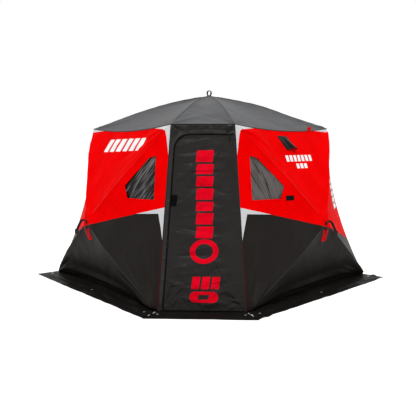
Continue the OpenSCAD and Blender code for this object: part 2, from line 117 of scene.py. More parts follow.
# ---------------------------------------------------------------- folds and ripples
def ripple(x, y, seed, length, stretch=(1, 1)):
    """Smooth random waves of about that length, about 1 high."""
    rng = np.random.default_rng(seed)
    total = np.zeros_like(x)
    for _ in range(16):
        angle, phase = rng.uniform(0, math.pi), rng.uniform(0, 2 * math.pi)
        f = 2 * math.pi / length * rng.uniform(0.6, 1.5)
        total += np.sin(f * (x / stretch[0] * math.cos(angle) + y / stretch[1] * math.sin(angle)) + phase)
    return total / 4


def folds(x, y, lines):
    """Sum of soft creases. A line is x0, y0, x1, y1, width, height, skew: skew under 1 puts it near its start."""
    total = np.zeros_like(x)
    for x0, y0, x1, y1, width, height, skew in lines:
        length = math.hypot(x1 - x0, y1 - y0)
        ux, uy = (x1 - x0) / length, (y1 - y0) / length
        s = ((x - x0) * ux + (y - y0) * uy) / length
        near = (s > 0) & (s < 1)
        d = (x[near] - x0) * uy - (y[near] - y0) * ux
        along = s[near]
        w = width * (0.45 + 0.75 * along)
        shape = np.exp(0.3 - np.sqrt((d / w) ** 2 + 0.09))
        total[near] += height * shape * np.sin(math.pi * along ** skew)
    return total


def fan(rng, at, angles, reach, width, height, count, skew=0.55):
    """Creases that spread from a corner, such as fabric makes where it is pulled."""
    lines = []
    for k in range(count):
        angle = math.radians(mix(angles[0], angles[1], (k + rng.uniform(0.2, 0.8)) / count))
        length = rng.uniform(*reach)
        start = rng.uniform(0.0, 0.05)
        high = rng.uniform(0.5, 1.0) * height * rng.choice([1, 1, -0.8])
        lines.append((at[0] + start * math.cos(angle), at[1] + start * math.sin(angle),
                      at[0] + length * math.cos(angle), at[1] + length * math.sin(angle),
                      rng.uniform(*width), high, skew))
    return lines


def crumple(rng, box, count, length, width, height, tilt, spread):
    """Short creases at random places in a box, mostly along one direction."""
    lines = []
    for _ in range(count):
        x, y = rng.uniform(box[0], box[2]), rng.uniform(box[1], box[3])
        angle = math.radians(tilt + rng.normal(0, spread))
        half = rng.uniform(*length) / 2
        lines.append((x - half * math.cos(angle), y - half * math.sin(angle),
                      x + half * math.cos(angle), y + half * math.sin(angle),
                      rng.uniform(*width), rng.uniform(0.4, 1) * height * rng.choice([1, 1, -0.7]), 0.9))
    return lines


# ---------------------------------------------------------------- meshes: a shape is its points, faces and pattern
def thicken(verts, faces, uvs, thickness, lift=0.0):
    """Closes an open sheet: its outer face is lifted, and an inner face lies thickness under it."""
    normals = np.zeros_like(verts)
    for n in sorted(set(len(f) for f in faces)):
        fs = np.array([f for f in faces if len(f) == n])
        p = verts[fs]
        area = np.zeros((len(fs), 3))
        for k in range(1, n - 1):
            area += np.cross(p[:, k] - p[:, 0], p[:, k + 1] - p[:, 0])
        for k in range(n):
            np.add.at(normals, fs[:, k], area)
    normals = normals / np.maximum(np.linalg.norm(normals, axis=1, keepdims=True), 1e-12)
    n = len(verts)
    edges = {(a, b): True for f in faces for a, b in zip(f, f[1:] + f[:1])}
    rim = [(b, a, a + n, b + n) for a, b in edges if (b, a) not in edges]
    verts = np.concatenate([verts + lift * normals, verts + (lift - thickness) * normals])
    faces = faces + [tuple(v + n for v in reversed(f)) for f in faces] + rim
    return verts, faces, np.concatenate([uvs, uvs])


def grid_faces(rows, columns, closed=False):
    faces = []
    for i in range(rows - (0 if closed else 1)):
        a, b = i * columns, ((i + 1) % rows) * columns
        faces += [(a + j, a + j + 1, b + j + 1, b + j) for j in range(columns - 1)]
    return faces


def turned_over(faces):
    return [tuple(reversed(f)) for f in faces]


def contains(polygon, x, y):
    found = False
    for (x0, y0), (x1, y1) in zip(polygon, polygon[1:] + polygon[:1]):
        if (y0 > y) != (y1 > y) and x < x0 + (y - y0) / (y1 - y0) * (x1 - x0):
            found = not found
    return found


class Sheet:
    """An open sheet in a flat pattern's coordinates: it can be cut along polygons of the pattern."""

    MARGIN = 0.03       # how far beyond a cut faces are looked at: more than a face's size
    ON_LINE = 1e-7

    def __init__(self, verts, faces, pattern):
        self.bm = bmesh.new()
        layer_x = self.bm.verts.layers.float.new("px")
        layer_y = self.bm.verts.layers.float.new("py")
        made = []
        for v, p in zip(verts, pattern):
            b = self.bm.verts.new(v)
            b[layer_x], b[layer_y] = p
            made.append(b)
        for f in faces:
            self.bm.faces.new([made[i] for i in f])

    def layers(self):
        return self.bm.verts.layers.float["px"], self.bm.verts.layers.float["py"]

    def middle(self, face):
        lx, ly = self.layers()
        n = len(face.verts)
        return sum(v[lx] for v in face.verts) / n, sum(v[ly] for v in face.verts) / n

    def slice(self, p, q):
        """Splits the faces near the pattern points p and q along the line through them."""
        lx, ly = self.layers()
        nx, ny = unit(np.array([q[1] - p[1], p[0] - q[0]], float))
        nx, ny = float(nx), float(ny)
        off = nx * p[0] + ny * p[1]
        low, high = np.minimum(p, q) - self.MARGIN, np.maximum(p, q) + self.MARGIN
        crossed, split = [], {}
        for f in self.bm.faces:
            x, y = self.middle(f)
            if not (low[0] < x < high[0] and low[1] < y < high[1]):
                continue
            sides = [nx * v[lx] + ny * v[ly] - off for v in f.verts]
            if max(sides) > self.ON_LINE and min(sides) < -self.ON_LINE:
                crossed.append(f)
                for e in f.edges:
                    da, db = (nx * v[lx] + ny * v[ly] - off for v in e.verts)
                    if da * db < 0 and min(abs(da), abs(db)) > self.ON_LINE:
                        split[e] = (e.verts[0], da / (da - db))
        fresh = set()
        for e, (a, t) in split.items():
            b = e.other_vert(a)
            x, y = mix(a[lx], b[lx], t), mix(a[ly], b[ly], t)
            _, v = bmesh.utils.edge_split(e, a, t)
            v[lx], v[ly] = x, y
            fresh.add(v)
        for f in crossed:
            on = [v for v in f.verts if v in fresh or abs(nx * v[lx] + ny * v[ly] - off) <= self.ON_LINE]
            if len(on) == 2 and not any(set(e.verts) == set(on) for e in f.edges):
                bmesh.utils.face_split(f, on[0], on[1])

    def drop(self, gone):
        bmesh.ops.delete(self.bm, geom=[f for f in self.bm.faces if gone(*self.middle(f))], context="FACES")

    def cut(self, polygon, keep):
        """Cuts along a polygon of the pattern and keeps what is inside it, or outside it."""
        if keep == "inside":
            lo, hi = np.min(polygon, axis=0) - self.MARGIN, np.max(polygon, axis=0) + self.MARGIN
            self.drop(lambda x, y: not (lo[0] < x < hi[0] and lo[1] < y < hi[1]))
        for p, q in zip(polygon, polygon[1:] + polygon[:1]):
            self.slice(p, q)
        self.drop(lambda x, y: contains(polygon, x, y) != (keep == "inside"))
        return self

    def part(self, polygon):
        """The part of a copy inside a polygon."""
        new = Sheet.__new__(Sheet)
        new.bm = self.bm.copy()
        return new.cut(polygon, "inside")

    def arrays(self):
        loose = [v for v in self.bm.verts if not v.link_faces]
        bmesh.ops.delete(self.bm, geom=loose, context="VERTS")
        self.bm.verts.index_update()
        lx, ly = self.layers()
        verts = np.array([v.co for v in self.bm.verts], float).reshape(-1, 3)
        uvs = np.array([(v[lx], v[ly]) for v in self.bm.verts], float).reshape(-1, 2)
        return verts, [tuple(v.index for v in f.verts) for f in self.bm.faces], uvs

    def shell(self, thickness=CLOTH, lift=0.0):
        return thicken(*self.arrays(), thickness, lift)


def prism_faces(rings, sides):
    """Faces between rings of points, and one at each end."""
    faces = [(i * sides + j, i * sides + (j + 1) % sides, (i + 1) * sides + (j + 1) % sides, (i + 1) * sides + j)
             for i in range(rings - 1) for j in range(sides)]
    return faces + [tuple(reversed(range(sides))), tuple((rings - 1) * sides + j for j in range(sides))]


# the section of a ribbon, in widths and thicknesses
RIBBON = ((-0.5, 0.35), (-0.46, 0.5), (0.46, 0.5), (0.5, 0.35),
          (0.5, -0.35), (0.46, -0.5), (-0.46, -0.5), (-0.5, -0.35))


def ribbon(path, side, width, thickness=STRIP):
    """A flat strap along a path: side is the direction of its width, at each point or all along."""
    path = np.asarray(path, float)
    side = np.broadcast_to(side, path.shape)
    out = np.cross(side, headings(path))
    out = out / np.linalg.norm(out, axis=1, keepdims=True)
    verts = [p + s * a * width + o * b * thickness for p, s, o in zip(path, side, out) for a, b in RIBBON]
    uvs = [(a * width, d) for d in run_along(path) for a, _ in RIBBON]
    return np.array(verts), prism_faces(len(path), len(RIBBON)), np.array(uvs)


def tube(path, radius, sides=8):
    """A round tube along a path."""
    ahead = headings(path)
    helper = np.array([0.31, 0.17, 0.93]) if abs(ahead[:, 2]).mean() < 0.8 else np.array([1.0, 0.1, 0])
    verts, uvs = [], []
    for p, a, d in zip(path, ahead, run_along(path)):
        u = unit(np.cross(helper, a))
        v = np.cross(a, u)
        for k in range(sides):
            angle = 2 * math.pi * k / sides
            verts.append(p + radius * (math.cos(angle) * u + math.sin(angle) * v))
            uvs.append((radius * angle, d))
    return np.array(verts), prism_faces(len(path), sides), np.array(uvs)


def plate(outline, at, ex, ey, ez, thickness, bevel):
    """A flat moulded piece: its outline in the plane of ex and ey, with a bevelled outer edge."""
    outline = np.asarray(outline, float)
    middle = outline.mean(0)
    size = np.abs(outline - middle).max()
    rings = ((0, 1), (thickness - bevel, 1), (thickness, 1 - bevel / size))
    verts = [at + (middle + (p - middle) * k) @ np.array([ex, ey]) + z * ez for z, k in rings for p in outline]
    return np.array(verts), prism_faces(len(rings), len(outline)), np.array([p for _ in rings for p in outline])


def lathe(profile, at, count=28):
    """A ring turned about the vertical: profile is its closed section, radius and height."""
    verts, uvs = [], []
    for i in range(count):
        angle = 2 * math.pi * i / count
        for r, z in profile:
            verts.append(at + np.array([r * math.cos(angle), r * math.sin(angle), z]))
            uvs.append((r * angle, z))
    m = len(profile)
    faces = [(i * m + j, ((i + 1) % count) * m + j, ((i + 1) % count) * m + (j + 1) % m, i * m + (j + 1) % m)
             for i in range(count) for j in range(m)]
    return np.array(verts), faces, np.array(uvs)


def joined(shapes):
    """Several shapes as one."""
    verts, faces, uvs, n = [], [], [], 0
    for v, f, u in shapes:
        verts.append(v)
        uvs.append(u)
        faces += [tuple(i + n for i in face) for face in f]
        n += len(v)
    return np.concatenate(verts), faces, np.concatenate(uvs)


def mirrored(shape, signs):
    """A shape made for the front right, moved to the place that the signs of x and y give."""
    verts, faces, uvs = shape
    return np.asarray(verts, float) * (*signs, 1), turned_over(faces) if signs[0] * signs[1] < 0 else faces, uvs


def add(name, shape, material, slot, signs=(1, 1), body="shelter", replaces=()):
    """A piece of the model: the body it rides on and the CAD nodes that it stands for. slot, its slot of the
    record, is not used.
    """
    verts, faces, uvs = mirrored(shape, signs)
    mesh = bpy.data.meshes.new(name)
    mesh.from_pydata([tuple(v) for v in verts], [], faces)
    mesh.validate()
    mesh.polygons.foreach_set("use_smooth", [True] * len(mesh.polygons))
    mesh.set_sharp_from_angle(angle=SHARP_ANGLE)
    layer = mesh.uv_layers.new(name="UVMap")
    ids = np.zeros(len(mesh.loops), int)
    mesh.loops.foreach_get("vertex_index", ids)
    layer.data.foreach_set("uv", np.asarray(uvs, float)[ids].ravel())
    mesh.materials.append(material)
    obj = bpy.data.objects.new(name, mesh)
    scene.collection.objects.link(obj)
    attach(obj, body)
    if replaces:
        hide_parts(*replaces)


# ---------------------------------------------------------------- materials
class Graph:
    """A node tree, with short ways to add nodes to it."""

    def __init__(self, tree):
        self.tree = tree

    def fill(self, node, inputs):
        """Links or sets inputs of a node."""
        for key, value in inputs.items():
            if isinstance(value, bpy.types.NodeSocket):
                self.tree.links.new(value, node.inputs[key])
            else:
                node.inputs[key].default_value = value

    def node(self, kind, inputs=(), output=0, **choices):
        node = self.tree.nodes.new("ShaderNode" + kind)
        for key, value in choices.items():
            setattr(node, key, value)
        self.fill(node, dict(inputs))
        return node.outputs[output]

    def math(self, operation, a, b):
        return self.node("Math", {0: a, 1: b}, operation=operation)

    def noise(self, vector, scale, detail=3.0, distortion=0.0):
        return self.node("TexNoise", {"Vector": vector, "Scale": scale, "Detail": detail,
                                      "Distortion": distortion}, "Fac")

    def scaled(self, vector, scale):
        return self.node("Mapping", {"Vector": vector, "Scale": scale}, "Vector")

    def turned(self, vector, degrees):
        return self.node("Mapping", {"Vector": vector, "Rotation": (0, 0, math.radians(degrees))}, "Vector")

    def bands(self, vector, direction, pitch):
        """Waves from 0 to 1 across the pattern, pitch metres apart."""
        return self.node("TexWave", {"Vector": vector, "Scale": 2 * math.pi / pitch / 20}, "Fac",
                         wave_type="BANDS", bands_direction=direction)

    def threads(self, vector, pitch):
        return self.math("MULTIPLY", self.bands(vector, "X", pitch), self.bands(vector, "Y", pitch))

    def bump(self, height, strength, distance, normal=None):
        under = {} if normal is None else {"Normal": normal}
        return self.node("Bump", {"Strength": strength, "Distance": distance, "Height": height, **under}, "Normal")

    def ramp(self, factor, low, high):
        """Colour between two stops, each a position and a colour."""
        node = self.tree.nodes.new("ShaderNodeValToRGB")
        for element, (at, colour) in zip(node.color_ramp.elements, (low, high)):
            element.position, element.color = at, (*colour, 1)
        self.fill(node, {"Fac": factor})
        return node.outputs["Color"]

    def seen(self):
        """1 for a ray from the camera, straight or by way of gloss or a clear sheet, and 0 for a ray of light."""
        rays = self.tree.nodes.new("ShaderNodeLightPath").outputs
        direct = self.math("MAXIMUM", rays["Is Camera Ray"], rays["Is Glossy Ray"])
        return self.math("MAXIMUM", direct, rays["Is Transmission Ray"])


class Finish(Graph):
    """A material under construction. pattern is its object's flat pattern, in metres."""

    def __init__(self, name, roughness, specular, **more):
        self.material = bpy.data.materials.new(name)
        self.material.use_nodes = True
        super().__init__(self.material.node_tree)
        self.shader = self.tree.nodes["Principled BSDF"]
        self.fill(self.shader, {"Roughness": roughness, "Specular IOR Level": specular})
        self.fill(self.shader, {key.replace("_", " ").title(): value for key, value in more.items()})
        place = self.tree.nodes.new("ShaderNodeTexCoord")
        self.pattern, self.place = place.outputs["UV"], place.outputs["Object"]

    def done(self, colour, normal):
        self.fill(self.shader, {"Base Color": colour, "Normal": normal})
        return self.material


WEAVE, RIPSTOP, STITCH = 0.0011, 0.0065, 0.0045         # pitch of the threads, of the ripstop grid and of stitches
STITCH_ROWS, STITCH_HALF = (-0.0075, 0.0075), 0.0009


def fabric(name, dark, light, roughness, specular, weave=WEAVE, wrinkle=0.45, grain=0.35, tint=(1, 1, 1),
           creases=None):
    """Woven cloth: colour varies between dark and light, with weave and small wrinkles.
    creases is the angle in degrees and the depth of long fine creases that come and go over the cloth."""
    g = Finish(name, roughness, specular, specular_tint=(*tint, 1))
    colour = g.ramp(g.noise(g.pattern, 5.0, 4.0), (0.32, dark), (0.68, light))
    grid = g.math("MAXIMUM", *(g.math("POWER", g.bands(g.pattern, axis, RIPSTOP), 14.0) for axis in "XY"))
    weave_height = g.math("ADD", g.threads(g.pattern, weave), g.math("MULTIPLY", grid, 0.5))
    normal = g.bump(weave_height, grain, 0.00025)
    normal = g.bump(g.noise(g.pattern, 34.0, 3.0, 0.6), 0.30 * wrinkle, 0.012, normal)
    normal = g.bump(g.noise(g.pattern, 9.0, 2.0, 0.3), 0.22 * wrinkle, 0.03, normal)
    if creases:
        angle, depth = creases
        lines = g.noise(g.scaled(g.turned(g.pattern, -angle), (1.6, 24.0, 1.0)), 1.0, 2.5, 0.35)
        where = g.math("MULTIPLY", g.math("SUBTRACT", g.noise(g.pattern, 2.6, 1.0), 0.50), 6.0)
        where = g.math("MINIMUM", g.math("MAXIMUM", where, 0.0), 1.0)
        normal = g.bump(g.math("MULTIPLY", lines, where), 1.0, depth, normal)
    return g.done(colour, normal)


def webbing(name, dark, light, pitch=0.0032):
    """Woven strap: ribs across its width."""
    g = Finish(name, 0.62, 0.03)
    ribs = g.math("MULTIPLY", g.bands(g.pattern, "Y", pitch), g.bands(g.pattern, "X", pitch * 0.6))
    return g.done(g.ramp(ribs, (0.1, dark), (0.9, light)), g.bump(ribs, 0.6, 0.0006))


def stitched(name, dark, light, thread, specular):
    """A sewn strip whose pattern runs along Y: two rows of stitches beside its edges."""
    g = Finish(name, 0.55, specular, sheen_weight=0.05, sheen_roughness=0.45)
    across = g.node("SeparateXYZ", {0: g.pattern}, "X")
    rows = (g.math("LESS_THAN", g.math("ABSOLUTE", g.math("SUBTRACT", across, row), 0.0), STITCH_HALF)
            for row in STITCH_ROWS)
    dash = g.math("GREATER_THAN", g.bands(g.pattern, "Y", STITCH), 0.32)
    stitches = g.math("MULTIPLY", g.math("MAXIMUM", *rows), dash)
    cloth = g.ramp(g.noise(g.pattern, 30.0), (0.3, dark), (0.7, light))
    colour = g.node("Mix", {"Factor": stitches, "A": cloth, "B": (*thread, 1)}, "Result", data_type="RGBA")
    high = g.math("ADD", g.math("MULTIPLY", g.threads(g.pattern, WEAVE), 0.25), stitches)
    pucker = g.noise(g.scaled(g.pattern, (30.0, 90.0, 1.0)), 1.0, 1.0)
    return g.done(colour, g.bump(pucker, 0.35, 0.004, g.bump(high, 0.6, 0.0006)))


def moulded(name, dark, roughness, specular):
    """Moulded plastic with a fine grain."""
    g = Finish(name, roughness, specular)
    light = tuple(c * 1.35 + 0.004 for c in dark)
    return g.done(g.ramp(g.noise(g.place, 60.0), (0.3, dark), (0.7, light)),
                  g.bump(g.noise(g.place, 900.0, 2.0), 0.25, 0.0004))


def vinyl(name, dark, light, angle, share, specular):
    """A clear sheet drawn glossy and opaque, in painted shade and painted reflection: long streaks along one
    direction, light over a share of it, the dark standing for the shade inside and the light for reflections.
    """
    g = Finish(name, 0.24, specular, coat_weight=specular, coat_roughness=0.12)
    turned = g.turned(g.pattern, angle)
    fine = g.noise(g.scaled(turned, (5.0, 95.0, 1.0)), 1.0, 4.0, 0.4)
    broad = g.noise(g.scaled(turned, (3.0, 22.0, 1.0)), 1.0, 2.0, 0.3)
    reflection_and_shade_streaks = g.math("ADD", g.math("MULTIPLY", fine, 0.6), g.math("MULTIPLY", broad, 0.4))
    return g.done(g.ramp(reflection_and_shade_streaks, (0.60 - share, dark), (0.69 - share, light)), g.bump(reflection_and_shade_streaks, 0.8, 0.008))


def plated(name, dark, light):
    """Bright metal, a little uneven."""
    g = Finish(name, 0.3, 0.5, metallic=1.0)
    return g.done(g.ramp(g.noise(g.place, 300.0), (0.3, dark), (0.7, light)),
                  g.bump(g.noise(g.place, 1500.0), 0.15, 0.0002))


def grey(level):
    return (level, level, level)


RED = fabric("red_fabric", (0.78, 0.0, 0.0004), (0.86, 0.0006, 0.001), 0.5, 0.005,
             tint=(1, 0.2, 0.25), creases=(-46, 0.022))
BLACK = fabric("black_fabric", (0.0108, 0.0090, 0.0078), (0.0134, 0.0113, 0.0099), 0.52, 0.07, creases=(58, 0.007))
DOOR_BLACK = fabric("door_fabric", (0.0112, 0.0097, 0.0089), (0.0158, 0.0138, 0.0127), 0.5, 0.13, wrinkle=1.6)
SKIRT_BLACK = fabric("skirt_fabric", (0.0060, 0.0054, 0.0050), (0.0086, 0.0078, 0.0072), 0.46, 0.04, wrinkle=0.8)
GREY = fabric("grey_fabric", (0.050, 0.051, 0.054), (0.060, 0.061, 0.064), 0.5, 0.08)
SILVER = fabric("silver_fabric", (0.54, 0.545, 0.56), (0.62, 0.625, 0.64), 0.38, 0.2, wrinkle=0.4)
VENT = fabric("vent_fabric", (0.0055, 0.0052, 0.0050), (0.010, 0.0096, 0.0093), 0.42, 0.08, wrinkle=1.0)
# the door surround's black cloth is painted lighter than the walls' black: painted light where its header faces the
# light and puckers
SURROUND_PAINTED_LIGHTER = fabric("surround_fabric", (0.0160, 0.0143, 0.0133), (0.0216, 0.0196, 0.0184), 0.5, 0.10, wrinkle=1.5)
# the zip flap's black cloth is painted lighter than the other black: painted sheen
FLAP_PAINTED_SHEEN = fabric("flap_fabric", (0.020, 0.0186, 0.0176), (0.027, 0.0254, 0.0240), 0.5, 0.12, wrinkle=1.0)
PRINT_RED = fabric("red_print", (0.64, 0.001, 0.010), (0.76, 0.003, 0.018), 0.5, 0.04, wrinkle=2.0,
                   tint=(1, 0.03, 0.03))
PRINT_WHITE = fabric("white_print", grey(0.84), grey(0.92), 0.42, 0.2)
VELCRO = fabric("velcro", grey(0.004), grey(0.008), 0.85, 0.04, weave=0.002, grain=0.9)
# the zip tape is painted darker than any black cloth: partly its own dark, partly a painted shadow line beside the
# zip and along the door's edge
SHADOW_DARK_TAPE = stitched("zip_tape", grey(0.0012), grey(0.0025), grey(0.008), 0.02)
RED_SEAM = stitched("red_seam", (0.76, 0.0, 0.0004), (0.84, 0.001, 0.001), (0.70, 0.0, 0.0006), 0.01)
BLACK_SEAM = stitched("black_seam", (0.012, 0.0112, 0.0106), (0.018, 0.0168, 0.016), (0.040, 0.036, 0.034), 0.1)
GREY_SEAM = stitched("grey_seam", (0.018, 0.018, 0.019), (0.028, 0.028, 0.029), grey(0.06), 0.1)
PIPING = webbing("piping", (0.075, 0.006, 0.005), (0.12, 0.010, 0.009), 0.002)
RED_WEB = webbing("red_webbing", (0.62, 0.0, 0.003), (0.80, 0.002, 0.005))
BLACK_WEB = webbing("webbing", grey(0.010), grey(0.026))
PLASTIC = moulded("black_plastic", grey(0.009), 0.42, 0.15)
RODS = moulded("fibreglass", grey(0.02), 0.35, 0.4)
# one clear vinyl in two copies: the left's painted dark with painted reflection streaks, the right's painted
# lighter grey as painted reflection, with painted shade along its folds
VINYL_DARK = vinyl("window_vinyl_dark", grey(0.004), (0.16, 0.150, 0.148), 54, 0.10, 0.10)
VINYL_GREY = vinyl("window_vinyl_grey", (0.016, 0.014, 0.013), (0.108, 0.097, 0.093), 66, 0.21, 0.12)
METAL = plated("grommet_metal", (0.40, 0.40, 0.39), (0.52, 0.52, 0.51))

# ---------------------------------------------------------------- a wide wall: the front right one, then mirrored
# its pattern's coordinates are a, the distance along the wall from the hub, and z
EDGE_FROM = np.array([DOOR_FOOT, DOOR_HEAD, SIDE_HEAD, SIDE_FOOT])
EDGE_TO = np.roll(EDGE_FROM, -1, axis=0)
EDGE_BOW = np.array([0 * UP, -EAVE_SAG * UP, (-SIDE_BOW, 0, 0), -GROUND_BOW * NORMAL])
BAND_DOOR_Z, BAND_SIDE_Z, BAND_HUB_DROP = 0.922, 0.420, 0.034       # the colour change's height
HUB_CONE, HUB_STILL, EDGE_STILL = (0.035, 0.17), (0.05, 0.2), (0.0, 0.045)


def edge_xyz(q):
    """A point on the wall's edges: 0 to 1 up the door seam, 1 to 2 along the eave, then side seam and ground."""
    k = np.floor(q).astype(int) % 4
    t = (q - np.floor(q))[..., None]
    return mix(EDGE_FROM[k], EDGE_TO[k], t) + bow(t) * EDGE_BOW[k]


def wall_xyz(q, v, push):
    """A point of the wall's outer face, v of the way to the hub. push(a, z) is how far folds stand out."""
    t = q - np.floor(q)
    base = mix(edge_xyz(q), HUB, v[..., None])
    out = (base - HUB) @ NORMAL + WALL_RISE * (1 - SLACK * bow(t)) * bow(v)
    flat = base - ((base - HUB) @ NORMAL)[..., None] * NORMAL
    away = np.linalg.norm(flat - HUB, axis=-1)
    out = out * smooth(away, *HUB_CONE)
    a, z = (flat - HUB) @ ALONG, flat[..., 2]
    quiet = smooth(v, *EDGE_STILL) * smooth(away, *HUB_STILL)
    return flat + (out + quiet * push(a, z))[..., None] * NORMAL


def stations(counts):
    """Positions round a wall or the roof, closer together near the corners."""
    out = []
    for k, n in enumerate(counts):
        i = np.arange(n) / n
        out.append(k + 0.45 * i + 0.55 * (1 - np.cos(math.pi * i)) / 2)
    return np.concatenate(out)


def steps_in(edge, fine, last, rows):
    """Steps from an edge to the middle, finer near the edge."""
    return np.concatenate([np.linspace(0, edge, fine)[:-1], np.linspace(edge, last, rows)])


def wall_grid(counts, rows):
    return stations(counts), steps_in(0.12, 13, 0.985, rows)


WALL_GRIDS = {"front": wall_grid((94, 80, 90, 98), 62), "rear": wall_grid((74, 64, 70, 78), 52)}


def wall_sheet(push, grid):
    q, v = np.meshgrid(*grid, indexing="ij")
    verts = wall_xyz(q, v, push).reshape(-1, 3)
    pattern = np.stack([(verts - HUB) @ ALONG, verts[:, 2]], axis=1)
    return Sheet(verts, grid_faces(*q.shape, closed=True), pattern)


def seam_along(z):
    """The door seam's a at a height."""
    return float((mix(DOOR_FOOT, DOOR_HEAD, (z - FOOT_Z) / (TOP_Z - FOOT_Z)) - HUB) @ ALONG)


SIDE_TOP_A = float((SIDE_HEAD - HUB) @ ALONG)
SIDE_FOOT_A = float((SIDE_FOOT - HUB) @ ALONG)
CORNER = {"door_head": (seam_along(TOP_Z), TOP_Z), "door_foot": (seam_along(FOOT_Z), FOOT_Z),
          "side_head": (SIDE_TOP_A, TOP_Z), "side_foot": (SIDE_FOOT_A, FOOT_Z), "hub": (0.0, HUB_H)}


def half_plane(polygon, p, q):
    """The part of a polygon to the right of the line from p to q."""
    out = []
    side = [(q[0] - p[0]) * (y - p[1]) - (q[1] - p[1]) * (x - p[0]) for x, y in polygon]
    for i, (a, b) in enumerate(zip(polygon, polygon[1:] + polygon[:1])):
        sa, sb = side[i], side[(i + 1) % len(polygon)]
        if sa <= 0:
            out.append(a)
        if sa * sb < 0:
            t = sa / (sa - sb)
            out.append((mix(a[0], b[0], t), mix(a[1], b[1], t)))
    return out


WINDOW_INSET, WINDOW_W, WINDOW_RIDGE, WINDOW_CORNER = 0.125, 0.308, 0.082, 0.110
WINDOW_SILL, WINDOW_HEAD = BAND_DOOR_Z + 0.061, EAVE_Z - 0.283
WINDOW_FALL = 0.077         # fall of its short upper edge over twice the inset
WINDOW_SIDE_A = seam_along(WINDOW_SILL) + WINDOW_INSET + WINDOW_W
PANE_LAP, BINDING_W = 0.014, 0.013


def window_outline(grow):
    low, high = (seam_along(0), 0.0), (seam_along(TOP_Z), TOP_Z)
    size = math.hypot(high[1], high[0] - low[0])
    shift = WINDOW_INSET - grow
    side = (high[1] / size * shift, -(high[0] - low[0]) / size * shift)
    slope = math.atan2(TOP_Z - HUB[2], -seam_along(TOP_Z))
    ridge = (-(WINDOW_RIDGE - grow) * math.sin(slope), -(WINDOW_RIDGE - grow) * math.cos(slope))
    sill = (WINDOW_SIDE_A + grow, WINDOW_SILL)
    head, head_z = seam_along(WINDOW_HEAD) + WINDOW_INSET, WINDOW_HEAD + grow * 1.2
    shape = [(-2.0, 0.0), (1.0, 0.0), (1.0, 2.0), (-2.0, 2.0)]
    for p, q in ((np.add(low, side), np.add(high, side)),
                 ((0, WINDOW_SILL - grow), (-1, WINDOW_SILL - grow)),
                 (np.add(high, ridge), np.add((0, HUB[2]), ridge)),
                 ((sill[0] + WINDOW_CORNER * 0.36, sill[1] + WINDOW_CORNER), sill),
                 ((head, head_z), (head + 2 * WINDOW_INSET, head_z - WINDOW_FALL))):
        shape = half_plane(shape, p, q)
    return [tuple(map(float, p)) for p in shape]


def band_line(a):
    """Height of the colour change at a distance along the wall from the hub."""
    low = HUB_H - BAND_HUB_DROP
    if a < 0:
        return mix(low, BAND_DOOR_Z, a / seam_along(BAND_DOOR_Z))
    return mix(low, BAND_SIDE_Z, a / ((SIDE_TOP_A + SIDE_FOOT_A) / 2))


FAR = 1.6       # beyond both ends of the wall
RED_SHAPE = [(-FAR, band_line(-FAR)), (0.0, band_line(0)), (FAR, band_line(FAR)), (FAR, 2.4), (-FAR, 2.4)]
BLACK_SHAPE = [(FAR, band_line(FAR)), (0.0, band_line(0)), (-FAR, band_line(-FAR)), (-FAR, -0.5), (FAR, -0.5)]
POINT_LONG, POINT_HIGH, POINT_TAPER, POINT_BAND = 0.290, 0.045, 0.095, 0.315


def accent_shapes():
    """The reflective points: at the eave's door corner, at its side corner and under the colour change."""
    door_a, length, high = seam_along(TOP_Z), POINT_LONG, POINT_HIGH
    top, over, tip_z = TOP_Z + 0.03, 0.06, TOP_Z - POINT_LONG * POINT_TAPER
    seam = seam_along(BAND_DOOR_Z)
    tip = seam + POINT_BAND
    return [
        [(door_a - over, top), (door_a + length, top), (door_a + length, tip_z),
         (door_a + high * 1.35, TOP_Z - high * 0.98), (door_a + high * 1.02, TOP_Z - high * 1.15),
         (door_a + high * 0.86, TOP_Z - high * 1.6),
         (seam_along(TOP_Z - length), TOP_Z - length), (door_a - over, TOP_Z - length)],
        [(SIDE_TOP_A + over, top), (SIDE_TOP_A + over, TOP_Z - high * 0.9), (SIDE_TOP_A, TOP_Z - high * 0.9),
         (SIDE_TOP_A - length, tip_z), (SIDE_TOP_A - length, top)],
        [(seam - over, band_line(seam - over)), (tip, band_line(tip)), (seam + 0.062, BAND_DOOR_Z - 0.06),
         (seam_along(BAND_DOOR_Z - 0.3), BAND_DOOR_Z - 0.3), (seam - over, BAND_DOOR_Z - 0.3)]]


